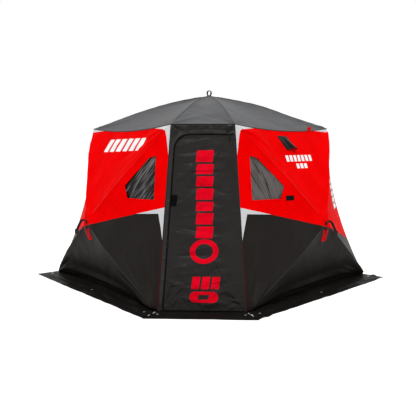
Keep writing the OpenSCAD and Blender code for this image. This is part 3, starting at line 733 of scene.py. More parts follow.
def wall_folds(seed, ridge_folds, foot_count):
    """Creases of one wall: fans at the pulled corners, sharp at the ground, soft near the side seam."""
    rng = np.random.default_rng(seed)
    slope = {k: math.degrees(math.atan2(HUB_H - z, -a)) for k, (a, z) in CORNER.items() if k != "hub"}
    head, foot = slope["door_head"], slope["door_foot"]
    lines = []
    # long soft folds beside the ridge from the eave's door corner to the hub
    for shift, high, *shares in ridge_folds:
        ends = []
        for share, off in zip(shares, (shift, shift * 1.9)):
            ends += [mix(CORNER["door_head"][0], 0, share) - math.sin(math.radians(head)) * off,
                     mix(CORNER["door_head"][1], HUB_H, share) + math.cos(math.radians(head)) * off]
        lines.append((*ends, 0.026, high, 0.75))
    # fans: corner, angles, reach, width, height, count, skew
    for corner, *spread in (("door_head", (head + 3, head + 22), (0.45, 0.95), (0.015, 0.022), 0.017, 6, 0.5),
                            ("door_head", (head + 24, -3), (0.25, 0.6), (0.014, 0.022), 0.013, 5),
                            ("door_head", (head - 24, head - 4), (0.2, 0.5), (0.012, 0.018), 0.0035, 3),
                            ("side_head", (184, 210), (0.2, 0.5), (0.015, 0.022), 0.014, 6),
                            ("side_head", (228, 262), (0.3, 0.7), (0.018, 0.028), 0.013, 5),
                            ("door_foot", (foot + 3, 84), (0.30, 0.80), (0.015, 0.026), 0.021, foot_count, 0.45),
                            ("door_foot", (8, foot - 3), (0.35, 0.9), (0.016, 0.028), 0.019, 7, 0.5),
                            ("side_foot", (140, 176), (0.3, 0.8), (0.018, 0.030), 0.017, 6),
                            ("hub", (0, 360), (0.18, 0.42), (0.014, 0.022), 0.0045, 13, 0.8)):
        lines += fan(rng, CORNER[corner], *spread)
    # long hem folds above the ground
    for z, high, width in ((0.085, 0.018, 0.032), (0.165, -0.012, 0.045), (0.045, -0.012, 0.024)):
        lines.append((CORNER["door_foot"][0] + 0.10, z * 0.55, SIDE_FOOT_A - 0.05, z * 1.15, width, high, 1.0))
    # short creases: across the side seam's edge above, and scattered
    for z in rng.uniform(0.75, 1.5, 7):
        edge = mix(SIDE_TOP_A, SIDE_FOOT_A, (TOP_Z - z) / TOP_Z) - 0.09
        reach = rng.uniform(0.12, 0.30)
        lines.append((edge, z, edge - reach, z + reach * rng.uniform(0.2, 0.7), 0.018,
                      rng.uniform(0.004, 0.009), 0.7))
    lines += crumple(rng, (-0.85, 0.95, 0.5, 1.55), 12, (0.12, 0.30), (0.016, 0.024), 0.0040, 30, 35)
    return lines + crumple(rng, (-1.0, 0.1, 1.1, 0.75), 16, (0.10, 0.30), (0.016, 0.026), 0.0050, 10, 40)


SEAM_HALF, SEAM_T, SEAM_COUNT, SEAM_FAR = 0.010, 0.0009, 90, 0.90


def seam_strip(push, q0, v0):
    """A sewn strip along the ridge at station q0."""
    vs = np.linspace(v0, SEAM_FAR, SEAM_COUNT)
    length = np.linalg.norm(edge_xyz(np.array(q0)) - HUB)
    verts, uvs = [], []
    for side in (-1, -0.5, 0, 0.5, 1):
        q = q0 + side * SEAM_HALF / 1.7 / np.maximum(1 - vs, 0.05)      # an edge is about 1.7 long
        verts.append(wall_xyz(q % 4, vs, push))
        uvs.append(np.stack([np.full(SEAM_COUNT, side * SEAM_HALF), vs * length], axis=1))
    return thicken(np.stack(verts, axis=1).reshape(-1, 3), turned_over(grid_faces(SEAM_COUNT, len(verts))),
                   np.stack(uvs, axis=1).reshape(-1, 2), SEAM_T, 0.0007 + SEAM_T)


HOOD_CELLS, HOOD_W, HOOD_LONG, HOOD_T, HOOD_LIFT = 24, 0.17, 0.2, 0.0014, 0.0041


def hood(push):
    """The vent's hood: tight at its head, standing open in two lobes at its foot."""
    n = HOOD_CELLS + 1
    p, s = np.meshgrid(np.linspace(0, 1, n), np.linspace(0, 1, n), indexing="ij")
    t = mix(mix(0.365, 0.38, s), mix(0.473, 0.51, s), p)
    valley = np.exp(-((p - 0.40) / 0.10) ** 2)
    reach = s * (1 - 0.15 * np.sin(math.pi * np.clip((p - 0.32) / 0.68, 0, 1)))
    base = wall_xyz(1 + t, mix(0.055, 0.205, reach), push)
    lobe = (0.020 * np.sin(math.pi * np.clip(p / 0.44, 0, 1))
            + 0.052 * np.sin(math.pi * np.clip((p - 0.36) / 0.64, 0, 1)))
    high = HOOD_LIFT + s ** 1.2 * lobe * (1 - 0.8 * valley)
    uvs = np.stack([p * HOOD_W, s * HOOD_LONG], axis=-1).reshape(-1, 2)
    return thicken((base + high[..., None] * NORMAL).reshape(-1, 3), grid_faces(n, n), uvs, HOOD_T)


def pane_shape(sheet, seed, direction):
    """The window's clear pane with its own folds, just behind the fabric."""
    verts, faces, uvs = sheet.part(window_outline(PANE_LAP)).arrays()
    lines = crumple(np.random.default_rng(seed), (-0.86, 0.96, -0.48, 1.4), 18, (0.25, 0.6), (0.012, 0.022), 0.012,
                    direction, 8)
    inner = folds(uvs[:, 0], uvs[:, 1], lines)
    verts = verts - (CLOTH + 0.0026 + 0.008 * (1 - np.tanh(inner / 0.008)))[:, None] * NORMAL
    return thicken(verts, faces, uvs, 0.0008)


def box_shape(a0, z0, a1, z1):
    return [(a0, z0), (a1, z0), (a1, z1), (a0, z1)]


def cut_shapes(sheet, polygons, thickness, lift):
    """Patches of a sheet, lying on it."""
    return joined([sheet.part(polygon).shell(thickness, lift) for polygon in polygons])


# each wide wall: signs, seed, folds beside the ridge (shift, height, start and end) and creases at the door's foot
WALL_STYLES = {
    "front_right": ((1, 1), 11, ((0.055, 0.0065, 0.03, 0.72), (0.098, 0.0045, 0.10, 0.62),
                                 (-0.030, 0.003, 0.05, 0.5)), 12),
    "front_left": ((-1, 1), 23, ((0.040, 0.0060, 0.04, 0.80), (0.085, 0.0040, 0.08, 0.55),
                                 (-0.022, 0.003, 0.05, 0.6)), 11),
    "rear_right": ((1, -1), 37, ((0.05, 0.005, 0.04, 0.7), (0.09, 0.004, 0.1, 0.6)), 10),
    "rear_left": ((-1, -1), 41, ((0.045, 0.0055, 0.04, 0.75), (0.1, 0.004, 0.1, 0.6)), 11),
}
VENTED = ("front_right", "rear_left")
MAIN_WALL = "front_right"       # its trim stands for the CAD nodes that hold the trim of every wall
WALLS = {}

for wall, (signs, seed, ridge_folds, foot_count) in WALL_STYLES.items():
    lines = wall_folds(seed, ridge_folds, foot_count)

    def push(a, z, lines=lines, seed=seed):
        broad = 0.0030 * ripple(a, z, seed + 1, 0.55) + 0.0009 * ripple(a, z, seed + 2, 0.16)
        return folds(a, z, lines) + broad

    whole = wall_sheet(push, WALL_GRIDS[wall.split("_")[0]])
    WALLS[wall] = (signs, whole)
    main = wall == MAIN_WALL
    add(f"{wall}_red_fabric", whole.part(RED_SHAPE).cut(window_outline(0), "outside").shell(), RED, "red_fabric",
        signs, replaces=[f"{wall}_window_panel", f"{wall}_upper_panel"])
    add(f"{wall}_black_fabric", whole.part(BLACK_SHAPE).shell(), BLACK, "black_fabric", signs,
        replaces=[f"{wall}_lower_panel"])
    # each pane gets painted reflection and shade: the lighter copy on the right walls, the darker copy on the left
    add(f"{wall}_window_pane", pane_shape(whole, seed + 5, -52 if signs[0] < 0 else -64),
        VINYL_GREY if signs[0] > 0 else VINYL_DARK, "window_vinyl", signs, replaces=[f"{wall}_window"])
    binding = whole.part(window_outline(BINDING_W)).cut(window_outline(0.0005), "outside")
    add(f"{wall}_window_binding", binding.shell(0.0010, 0.0018), RED, "red_fabric", signs)
    add(f"{wall}_reflective_points", cut_shapes(whole, accent_shapes(), 0.0006, 0.0011), SILVER, "silver_fabric",
        signs, replaces=["reflective_accents"] if main else ())
    for colour, starts, material in (("red", ((1.0, 0.052), (2.0, 0.036)), RED_SEAM),
                                     ("black", ((0.0, 0.02), (3.0, 0.02)), BLACK_SEAM)):
        add(f"{wall}_{colour}_seams", joined([seam_strip(push, *start) for start in starts]), material,
            f"{colour}_fabric", signs)
    if wall in VENTED:
        add(f"{wall}_vent_hood", hood(push), VENT, "vent_fabric", signs, replaces=["wall_vents"] if main else ())
        patch = box_shape(WINDOW_SIDE_A + 0.058, WINDOW_SILL - 0.022, WINDOW_SIDE_A + 0.148, WINDOW_SILL + 0.024)
        add(f"{wall}_velcro_patch", whole.part(patch).shell(0.0012, 0.0018), VELCRO, "velcro", signs,
            replaces=["velcro_patches"] if main else ())


def on_walls(shape):
    """The same thing on each wide wall, as one mesh."""
    return joined([mirrored(shape, signs) for signs, _ in WALLS.values()])


# ---------------------------------------------------------------- roof canopy
ROOF_CORNERS = np.array([(-DOOR_HEAD[0], DOOR_HEAD[1]), DOOR_HEAD[:2], SIDE_HEAD[:2],
                         (DOOR_HEAD[0], -DOOR_HEAD[1]), (-DOOR_HEAD[0], -DOOR_HEAD[1]), -SIDE_HEAD[:2]])
ROOF_SAG = np.array([0, EAVE_SAG, EAVE_SAG, 0, EAVE_SAG, EAVE_SAG])


def eave_xyz(q):
    k = np.floor(q).astype(int) % 6
    t = (q - np.floor(q))[..., None]
    flat = mix(ROOF_CORNERS[k], ROOF_CORNERS[(k + 1) % 6], t)
    return np.concatenate([flat, EAVE_Z - ROOF_SAG[k][..., None] * bow(t)], axis=-1)


def roof_folds():
    rng = np.random.default_rng(7)
    lines = []
    for x, y in ROOF_CORNERS:
        inward = math.degrees(math.atan2(-y, -x))
        for angles in ((inward - 34, inward - 6), (inward + 6, inward + 34)):
            lines += fan(rng, (x, y), angles, (0.2, 0.6), (0.014, 0.024), 0.0080, 4)
    lines += fan(rng, (0, 0), (0, 360), (0.3, 0.7), (0.016, 0.028), 0.0055, 20, 0.8)
    return lines + crumple(rng, (-1, -1, 1, 1), 16, (0.15, 0.4), (0.016, 0.026), 0.0035, 60, 60)


ROOF_LINES = roof_folds()


def roof_xyz(q, v):
    """A point of the roof's outer face: q round the eave, v of the way to the peak."""
    t = q - np.floor(q)
    p = mix(eave_xyz(q), PEAK, v[..., None])
    p[..., 2] += ROOF_RISE * (1 - SLACK * bow(t)) * bow(v ** 1.35)
    x, y = p[..., 0], p[..., 1]
    r = np.hypot(x, y)
    quiet = smooth(v, 0.0, 0.04) * smooth(r, 0.06, 0.22)
    high = folds(x, y, ROOF_LINES) + 0.003 * ripple(x, y, 8, 0.6) + 0.0008 * ripple(x, y, 9, 0.15)
    p[..., 2] = PEAK[2] - (PEAK[2] - p[..., 2]) * smooth(r, 0.012, 0.085) + quiet * high
    return p


def ridge_strip(corner):
    """A sewn strip up the roof's ridge from one of its corners."""
    vs = np.linspace(0.005, 0.93, SEAM_COUNT)
    sides = np.array([-1, -0.4, 0, 0.4, 1])
    rows = [roof_xyz((np.full(SEAM_COUNT, corner + 6.0)
                      + side * SEAM_HALF / (1.5 * np.maximum(1 - vs, 0.06))) % 6, vs) for side in sides]
    uvs = np.stack([np.tile(sides * SEAM_HALF, SEAM_COUNT), np.repeat(vs * 1.4, len(sides))], axis=1)
    return thicken(np.stack(rows, axis=1).reshape(-1, 3), grid_faces(SEAM_COUNT, len(sides)), uvs, 0.0010, 0.0018)


ROOF_Q = stations((40, 76, 76, 40, 76, 76))
q, v = np.meshgrid(ROOF_Q, steps_in(0.06, 7, 0.991, 58), indexing="ij")
verts = roof_xyz(q, v).reshape(-1, 3)
add("roof_canopy", thicken(verts, turned_over(grid_faces(*q.shape, closed=True)), verts[:, :2], CLOTH),
    GREY, "grey_fabric",
    replaces=[f"roof_{n}" for n in ("front", "rear", "front_left", "front_right", "rear_left", "rear_right")])
eave_cord = eave_xyz(np.concatenate([ROOF_Q, [5.99999]])) + np.array([0, 0, -0.0015])
add("roof_seams", joined([*(ridge_strip(k) for k in range(6)), tube(eave_cord, 0.0042, 10)]), GREY_SEAM,
    "grey_fabric")

# the webbing loop on the hub's cap
LOOP_TURN, LOOP_R, LOOP_HIGH = math.radians(-34), 0.0275, 0.0265
across = np.array([math.cos(LOOP_TURN), math.sin(LOOP_TURN), 0])
loop_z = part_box("roof_loop")[0].z + 0.0026
path = [(0.008, 0.0), (0.018, 0.001)]
path += [(LOOP_R * math.cos(a), LOOP_HIGH + LOOP_R * math.sin(a)) for a in np.linspace(-0.9, math.pi + 0.9, 33)]
path += [(-0.018, 0.001), (-0.008, 0.0)]
LOOP_W, LOOP_T = 0.024, 0.0045
loop = ribbon([x * across + (z + loop_z) * UP for x, z in path], np.cross(UP, across), LOOP_W, LOOP_T)
add("roof_loop_webbing", loop, BLACK_WEB, "webbing", replaces=["roof_loop"])

# a small red tab at the right eave: out from the wall and up, over its fold
EAVE_TAB_Q, EAVE_TAB_W = 1.757, 0.062
at = edge_xyz(np.array(EAVE_TAB_Q)) + 0.004 * NORMAL + 0.008 * UP
path = [at + NORMAL * n + UP * z + ALONG * (z + 0.01) * 0.6 for n, z in
        ((0.002, -0.010), (0.003, 0.004), (0.004, 0.018), (0.004, 0.030), (0.000, 0.036), (-0.004, 0.030),
         (-0.002, 0.018), (-0.001, 0.012))]
add("eave_tab", ribbon(path, ALONG, EAVE_TAB_W, 0.0018), RED_WEB, "red_webbing")

# ---------------------------------------------------------------- the door ends
END_NORMAL = unit(np.array([0, -(TOP_Z - FOOT_Z), DOOR_HEAD[1] - DOOR_FOOT[1]]))
END_UP = unit(np.array([0, DOOR_HEAD[1] - DOOR_FOOT[1], TOP_Z - FOOT_Z]))
JAMB, HINGE_STRIP, DOOR_FOOT_GAP, HEADER, DOOR_R, DOOR_GAP = 0.042, 0.020, 0.010, 0.085, 0.145, 0.0015
DOOR_LOW, DOOR_HIGH = FOOT_Z + DOOR_FOOT_GAP, TOP_Z - HEADER
LEAN = (DOOR_FOOT[0] - DOOR_HEAD[0]) / (TOP_Z - FOOT_Z)
LINE_STEP, TOOTH_STEP, STRIP_LIFT = 0.012, 0.0036, 0.0010


def seam_x(z):
    return DOOR_FOOT[0] - LEAN * (z - FOOT_Z)


def end_xyz(x, z, out):
    y = mix(DOOR_FOOT[1], DOOR_HEAD[1], (z - FOOT_Z) / (TOP_Z - FOOT_Z))
    return np.stack([x, y, z], axis=-1) + np.asarray(out)[..., None] * END_NORMAL


def door_outline(free, hinge, low=None, steps=14):
    """The door's outline from its lower hinge corner, grown on its free edges and on its hinge edge."""
    low = DOOR_LOW - free if low is None else low
    high, r = DOOR_HIGH + free, DOOR_R + free
    zc = high - r
    xc = JAMB - free - seam_x(zc) + r * math.sqrt(1 + LEAN * LEAN)
    first = math.pi - math.atan(LEAN)
    arc = [(xc + r * math.cos(a), zc + r * math.sin(a)) for a in np.linspace(first, math.pi / 2, steps)]
    return ([(seam_x(low) - HINGE_STRIP + hinge, low), (JAMB - free - seam_x(low), low)] + arc
            + [(seam_x(high) - HINGE_STRIP + hinge, high)])


def zip_line(off, step=LINE_STEP, low=None, far=0.0):
    """Points along the door's free edge, off outside it, from the ground up and over to the hinge side."""
    points = np.array(door_outline(off, far, low, 40)[1:])
    run = run_along(points)
    at = np.linspace(0, run[-1], int(run[-1] / step) + 1)
    return np.stack([np.interp(at, run, points[:, 0]), np.interp(at, run, points[:, 1])], axis=1)


def on_end(line, out):
    """A line of the door end in space, with its directions along and across."""
    ahead = headings(line)
    return (end_xyz(line[:, 0], line[:, 1], out), ahead[:, :1] * EAST + ahead[:, 1:] * END_UP,
            ahead[:, 1:] * EAST - ahead[:, :1] * END_UP)


def zip_strip(off, width, lift, push, low, far=0.0, thickness=STRIP):
    line = zip_line(off, low=low, far=far)
    path, _, across = on_end(line, push(line[:, 0], line[:, 1]) + lift)
    return ribbon(path, across, width, thickness)


def level_strip(x0, x1, height, lift, width, push=None):
    """A strip across the door end at a height."""
    x = np.linspace(x0, x1, 60)
    z = np.full(60, height)
    return ribbon(end_xyz(x, z, (push(x, z) if push else 0 * x) + lift), END_UP, width)


def end_pushes(seed):
    """How far the cloth of the surround, and of the door, stands out at x and z."""
    around, across = end_folds(seed), door_folds(seed + 1)

    def surround(x, z):
        edge = np.minimum(seam_x(z) - np.abs(x), TOP_Z - z)
        quiet = smooth(edge, 0.0, 0.012) * smooth(z, FOOT_Z, 0.03)
        return quiet * (folds(x, z, around) + 0.0010 * ripple(x, z, seed + 3, 0.12))

    def door(x, z):
        left, right = x - (JAMB - seam_x(z)), seam_x(z) - HINGE_STRIP - x
        quiet = 0.25 + 0.75 * smooth(np.minimum(left, DOOR_HIGH - z), 0.0, 0.05)
        quiet = quiet * smooth(right, 0.0, 0.11)
        slack = 0.007 * np.sin(math.pi * np.clip((x + 0.33) / 0.66, 0, 1))
        high = slack + folds(x, z, across) + 0.0035 * ripple(x, z, seed + 4, 0.28, (1.6, 1))
        return quiet * (0.003 + 0.016 * np.tanh((high - 0.003) / 0.016))

    return surround, door


def end_folds(seed):
    """Creases of the surround: puckers in its header and beside the zip."""
    rng = np.random.default_rng(seed)
    lines = crumple(rng, (-0.26, DOOR_HIGH + 0.01, 0.26, TOP_Z - 0.01), 40, (0.06, 0.16), (0.009, 0.014), 0.013,
                    48, 35)
    lines += fan(rng, (-0.30, TOP_Z), (-58, -8), (0.10, 0.26), (0.009, 0.014), 0.013, 9, 0.3)
    lines += fan(rng, (0.30, TOP_Z), (188, 225), (0.08, 0.20), (0.009, 0.014), 0.012, 6, 0.3)
    lines += crumple(rng, (-0.32, DOOR_HIGH - 0.16, -0.20, TOP_Z - 0.02), 9, (0.06, 0.12), (0.009, 0.013), 0.010,
                     60, 20)
    for z in rng.uniform(0.05, 1.4, 26):
        x = -seam_x(z) + 0.02
        lines.append((x - 0.03, z - 0.01, x + 0.035, z + rng.uniform(-0.03, 0.03), 0.008, 0.0045, 0.9))
    return lines


def door_folds(seed):
    """Creases of the door: long slack ones across it, short ones above the ground, some down its middle."""
    rng = np.random.default_rng(seed)
    lines = []
    for z in np.linspace(0.12, 1.5, 30):
        z += rng.uniform(-0.03, 0.03)
        reach = rng.uniform(0.22, 0.56)
        x = rng.uniform(-0.30, 0.30 - reach)
        lines.append((x, z, x + reach, z + rng.uniform(-0.15, 0.15), rng.uniform(0.014, 0.026),
                      rng.uniform(0.5, 1) * 0.0170 * rng.choice([1, 1, -1]), 0.9))
    lines += crumple(rng, (-0.32, 0.03, 0.34, 0.40), 34, (0.10, 0.30), (0.009, 0.017), 0.0160, 20, 38)
    lines += crumple(rng, (-0.28, 0.45, 0.30, 1.5), 40, (0.08, 0.22), (0.008, 0.014), 0.0065, 50, 50)
    lines += fan(rng, (seam_x(0.05) - 0.04, 0.04), (95, 150), (0.25, 0.6), (0.010, 0.016), 0.012, 6)
    lines += fan(rng, (0.04 - seam_x(0.05) + 0.02, 0.04), (40, 80), (0.25, 0.6), (0.010, 0.016), 0.012, 6)
    return lines + fan(rng, (0.20, 1.52), (215, 265), (0.25, 0.7), (0.010, 0.018), 0.009, 5)


def slanted(x0, x1, z0, z1, slant):
    return [(x0, z0), (x1, z0), (x1 + slant, z1), (x0 + slant, z1)]


def pill(x0, x1, z0, z1):
    middle, half, r = (x0 + x1) / 2, (x1 - x0) / 2, (z1 - z0) / 2
    arc = [(math.cos(a), math.sin(a)) for a in np.linspace(-math.pi / 2, math.pi / 2, 12)]
    return ([(middle + half - r + r * c, z0 + r + r * s) for c, s in arc]
            + [(middle - half + r - r * c, z0 + r - r * s) for c, s in arc])


def oval(x, z, half, high, slant):
    turns = np.linspace(0, 2 * math.pi, 28, endpoint=False)
    return [(x + half * math.cos(t) + slant * math.sin(t), z + high * math.sin(t)) for t in turns]


# each mark is an outline and the hole in it: a column of slanted blocks over a ring, then three blocks and a bar
END_MARKS = [(slanted(-0.060, 0.090, z, z + high, 0.012), None)
             for z, high in ((0.652, 0.104), (0.774, 0.100), (0.892, 0.082), (0.992, 0.100), (1.110, 0.090),
                             (1.218, 0.090), (1.326, 0.104))]
END_MARKS += [(oval(0.018, 0.535, 0.128, 0.109, 0.006), oval(0.018, 0.535, 0.080, 0.068, 0.004))]
END_MARKS += [(slanted(x, x + 0.070, 0.204, 0.312, 0.016), None) for x in (-0.098, -0.010, 0.078)]
END_MARKS += [(pill(-0.110, 0.146, 0.084, 0.182), slanted(-0.040, 0.052, 0.112, 0.154, 0.016))]


def end_grid(push, columns, rows):
    k, z = np.meshgrid(np.linspace(1, -1, columns), np.linspace(FOOT_Z, TOP_Z, rows), indexing="ij")
    x = k * seam_x(z)
    flat = np.stack([x, z], axis=-1).reshape(-1, 2)
    return Sheet(end_xyz(x, z, push(x, z)).reshape(-1, 3), grid_faces(columns, rows), flat)


def mark_shape(sheet, outline, opening):
    mark = sheet.part(outline)
    if opening:
        mark.cut(opening, "outside")
    return mark.shell(0.0005, 0.0007)


TIE_Z, TIE_X, TIE_W = (0.936, 1.032), (-0.258, -0.250), 0.052


def tie_tab(push):
    z, x = np.linspace(*TIE_Z, 9), np.linspace(*TIE_X, 9)
    return ribbon(end_xyz(x, z, push(x, z) + 0.004 + 0.004 * np.sin(np.linspace(0, math.pi, 9))), EAST, TIE_W, WEB)


# a tooth's length, width and height, and how far every other one stands to the side
TOOTH, TOOTH_SWING, TOOTH_LIFT = (0.0021, 0.0052, 0.0026), 0.0007, 0.0026
CUBE_FACES = ((0, 1, 3, 2), (4, 6, 7, 5), (0, 4, 5, 1), (2, 3, 7, 6), (0, 2, 6, 4), (1, 5, 7, 3))


def zip_teeth(line, centre, along, across):
    cube = np.array([(x, y, z) for x in (-0.5, 0.5) for y in (-0.5, 0.5) for z in (-0.5, 0.5)]) * TOOTH
    swing = np.where(np.arange(len(line)) % 2 == 0, TOOTH_SWING, -TOOTH_SWING)[:, None]
    verts = (centre[:, None] + along[:, None] * cube[None, :, 0:1]
             + across[:, None] * (cube[None, :, 1:2] + swing[:, None])
             + END_NORMAL * cube[None, :, 2:3]).reshape(-1, 3)
    faces = [tuple(8 * i + c for c in reversed(f)) for i in range(len(line)) for f in CUBE_FACES]
    return verts, faces, np.repeat(line, 8, axis=0)


SLIDER = ((-0.0075, -0.013), (0.0075, -0.013), (0.0085, 0.004), (0.0055, 0.013), (-0.0055, 0.013), (-0.0085, 0.004))
PULL = ((0.007, -0.006), (0.0105, 0.000), (0.0105, 0.012), (0.009, 0.034), (0.008, 0.056), (0.008, 0.064))
SLIDER_SHARES = (0.30, 0.985)       # places of the two sliders along the zip


def zip_sliders(centre, along, across):
    """The zip's sliders, and the pulls that hang from them."""
    sliders, pulls = [], []
    for share in SLIDER_SHARES:
        i = int(share * len(centre))
        at = centre[i] + STRIP_LIFT * END_NORMAL
        sliders.append(plate(SLIDER, at, across[i], along[i], END_NORMAL, 0.0055, 0.0015))
        pulls.append(ribbon([at + END_NORMAL * n - END_UP * d for n, d in PULL], EAST, 0.012, WEB))
    return joined(sliders), joined(pulls)


FLAP_COLUMNS, FLAP_FROM, FLAP_TO, FLAP_HALF = 9, 0.0135, -0.0165, 0.015


def zip_flap(push, seed):
    """The flap that covers the zip, sewn on beside it, its free edge a little curled."""
    line = zip_line(0.021, low=FOOT_Z + 0.012, far=0.014)
    ahead, run = headings(line), np.arange(len(line)) * LINE_STEP
    curl = 0.5 + 0.5 * np.clip(ripple(run, 0 * run, seed, 0.35), -1, 1)
    columns = []
    for s in np.linspace(0, 1, FLAP_COLUMNS):
        off = mix(FLAP_FROM, FLAP_TO, s)
        x, z = line[:, 0] - ahead[:, 1] * off, line[:, 1] + ahead[:, 0] * off
        lift = 0.0016 + 0.0045 * s ** 1.5 * (0.6 + curl) + 0.0012 * math.sin(math.pi * s)
        columns.append(end_xyz(x, z, push(x, z) + lift))
    uvs = np.stack([np.tile(np.linspace(-FLAP_HALF, FLAP_HALF, FLAP_COLUMNS), len(line)),
                    np.repeat(run, FLAP_COLUMNS)], axis=1)
    return thicken(np.stack(columns, axis=1).reshape(-1, 3), grid_faces(len(line), FLAP_COLUMNS), uvs, 0.0013)


def door_facing():
    """Strips behind the door's edges, so that no light shows beside it."""
    around = zip_strip(-0.006, 0.072, -0.015, lambda x, z: 0 * x, FOOT_Z + 0.006, 0.006)
    z = np.linspace(FOOT_Z + 0.006, DOOR_HIGH + 0.04, 60)
    behind = ribbon(end_xyz(seam_x(z) - HINGE_STRIP - 0.004, z, 0 * z - 0.009), EAST, 0.036)
    return joined([around, behind, level_strip(-0.345, 0.372, 0.027, -0.009, 0.046)])


def surround_seams(push):
    """The strip over the hinge side, and the strips along the header's edges."""
    z = np.linspace(FOOT_Z + 0.004, TOP_Z - 0.006, 120)
    x = seam_x(z) - HINGE_STRIP / 2
    hinge = ribbon(end_xyz(x, z, push(x, z) + STRIP_LIFT), EAST, 0.0165)
    return joined([hinge, level_strip(-0.25, 0.25, TOP_Z - 0.010, STRIP_LIFT, 0.014),
                   level_strip(-0.288, 0.288, TOP_Z - 0.040, STRIP_LIFT, 0.009, push)])


ENDS = {"front": (1, 1), "rear": (-1, -1)}
# seed of the folds, grid of the surround, grid of the door
END_GRIDS = {"front": (61, (110, 190), (96, 200)), "rear": (67, (88, 152), (76, 160))}

for end, signs in ENDS.items():
    seed, surround_grid, door_grid = END_GRIDS[end]
    body = f"{end}_door"
    push, door_push = end_pushes(seed)
    sheet = end_grid(push, *surround_grid).cut(door_outline(DOOR_GAP, 0.0003, low=FOOT_Z - 0.02), "outside")
    # the surround in its painted-lighter black, painted light on the same black cloth
    add(f"{end}_surround_fabric", sheet.shell(), SURROUND_PAINTED_LIGHTER, "black_fabric", signs, replaces=[f"{end}_surround"])
    sheet = end_grid(door_push, *door_grid)
    add(f"{end}_door_fabric", sheet.part(door_outline(0, 0)).shell(), DOOR_BLACK, "black_fabric", signs, body,
        [f"{end}_door"])
    add(f"{end}_door_marks", joined([mark_shape(sheet, *mark) for mark in END_MARKS]), PRINT_RED, "red_fabric",
        signs, body)
    # the door's binding in that tape: a dark strip along the door's free edge, partly painted shadow under the flap
    # and header
    binding = zip_strip(-0.0060, 0.010, STRIP_LIFT, door_push, DOOR_LOW + 0.0095)
    add(f"{end}_door_binding", binding, SHADOW_DARK_TAPE, "zip_tape", signs, body)
    add(f"{end}_door_tie_tab", tie_tab(door_push), SHADOW_DARK_TAPE, "zip_tape", signs, body)

    line = zip_line(0.0009, TOOTH_STEP, DOOR_LOW + 0.002, -0.004)
    zip_run = on_end(line, push(line[:, 0], line[:, 1]) + TOOTH_LIFT)
    sliders, pulls = zip_sliders(*zip_run)
    add(f"{end}_zip_teeth", zip_teeth(line, *zip_run), PLASTIC, "black_plastic", signs)
    add(f"{end}_zip_sliders", sliders, PLASTIC, "black_plastic", signs)
    add(f"{end}_zip_pulls", pulls, BLACK_WEB, "webbing", signs)
    # the zip's tape, its darkness partly a painted shadow line in the gap under the flap
    tape = zip_strip(0.0085, 0.013, STRIP_LIFT, push, DOOR_LOW - 0.004, thickness=0.0012)
    add(f"{end}_zip_tape", tape, SHADOW_DARK_TAPE, "zip_tape", signs, replaces=[f"{end}_zipper"])
    # the flap in its painted-sheen black
    add(f"{end}_zip_flap", zip_flap(push, seed + 9), FLAP_PAINTED_SHEEN, "black_fabric", signs)
    add(f"{end}_door_facing", door_facing(), BLACK, "black_fabric", signs)
    add(f"{end}_surround_seams", surround_seams(push), BLACK_SEAM, "black_fabric", signs)

# ---------------------------------------------------------------- seams between the walls
WELT_OUT, WELT_R, PIPING_R = 0.0012, 0.0026, 0.003


def seam_share(z):
    return (z - FOOT_Z) / (TOP_Z - FOOT_Z)


def welt(q0, q1, out):
    return on_walls(tube(edge_xyz(np.linspace(q0, q1, 60)) + WELT_OUT * out, WELT_R))


band_q = 2 + (TOP_Z - BAND_SIDE_Z) / (TOP_Z - FOOT_Z)
add("door_seam_welts", welt(seam_share(0.612), 1, unit(MITRE)), BLACK_SEAM, "black_fabric")
add("side_seam_welts", welt(2, band_q, EAST), RED_SEAM, "red_fabric")
add("side_seam_lower_welts", welt(band_q, 2.998, EAST), BLACK_SEAM, "black_fabric")
z = np.linspace(0.0205, 0.6167, 90)
path = edge_xyz(seam_share(z)) + (0.004 + 0.0006 * np.sin(z * 70))[:, None] * unit(MITRE)
add("door_seam_piping", on_walls(tube(path, PIPING_R, 10)), PIPING, "piping", replaces=["seam_piping"])

# ---------------------------------------------------------------- what hangs at each wall hub
TAB_TOP, TAB_LONG, TAB_HALF, TAB_LEAN = HUB_H - 0.058, 0.130, 0.043, 0.034
TAB_LOW, TAB_POINTS = TAB_TOP - TAB_LONG, 14
TAB_SHAPE = [(-TAB_HALF + 0.006 + TAB_LEAN, TAB_LOW), (TAB_HALF - 0.006 + TAB_LEAN, TAB_LOW),
             (TAB_HALF + TAB_LEAN, TAB_LOW + 0.012), (TAB_HALF, TAB_TOP), (-TAB_HALF, TAB_TOP),
             (-TAB_HALF + TAB_LEAN, TAB_LOW + 0.012)]
# webbing on the pull tab: a from and to, z from and to, width, lift and the direction of its width
TAB_WEBS = ((0.0, 0.8 * TAB_LEAN, TAB_TOP + 0.012, TAB_LOW + 0.022, 0.009, 0.0034, ALONG),
            (-0.020, 0.020, TAB_TOP - 0.004, TAB_TOP - 0.004, 0.026, 0.0054, UP))


def tab_webbing(sheet):
    """The pull tab's webbing, laid over the wall's fabric."""
    verts, _, uvs = sheet.part(box_shape(-0.07, TAB_LOW - 0.05, 0.07, HUB_H)).arrays()
    webs = []
    for a0, a1, z0, z1, width, lift, side in TAB_WEBS:
        path = []
        for a, z in zip(np.linspace(a0, a1, TAB_POINTS), np.linspace(z0, z1, TAB_POINTS)):
            i = np.argmin((uvs[:, 0] - a) ** 2 + (uvs[:, 1] - z) ** 2)
            path.append(verts[i] + (a - uvs[i, 0]) * ALONG + (z - uvs[i, 1]) * UP + lift * NORMAL)
        webs.append(ribbon(path, side, width, WEB))
    return joined(webs)


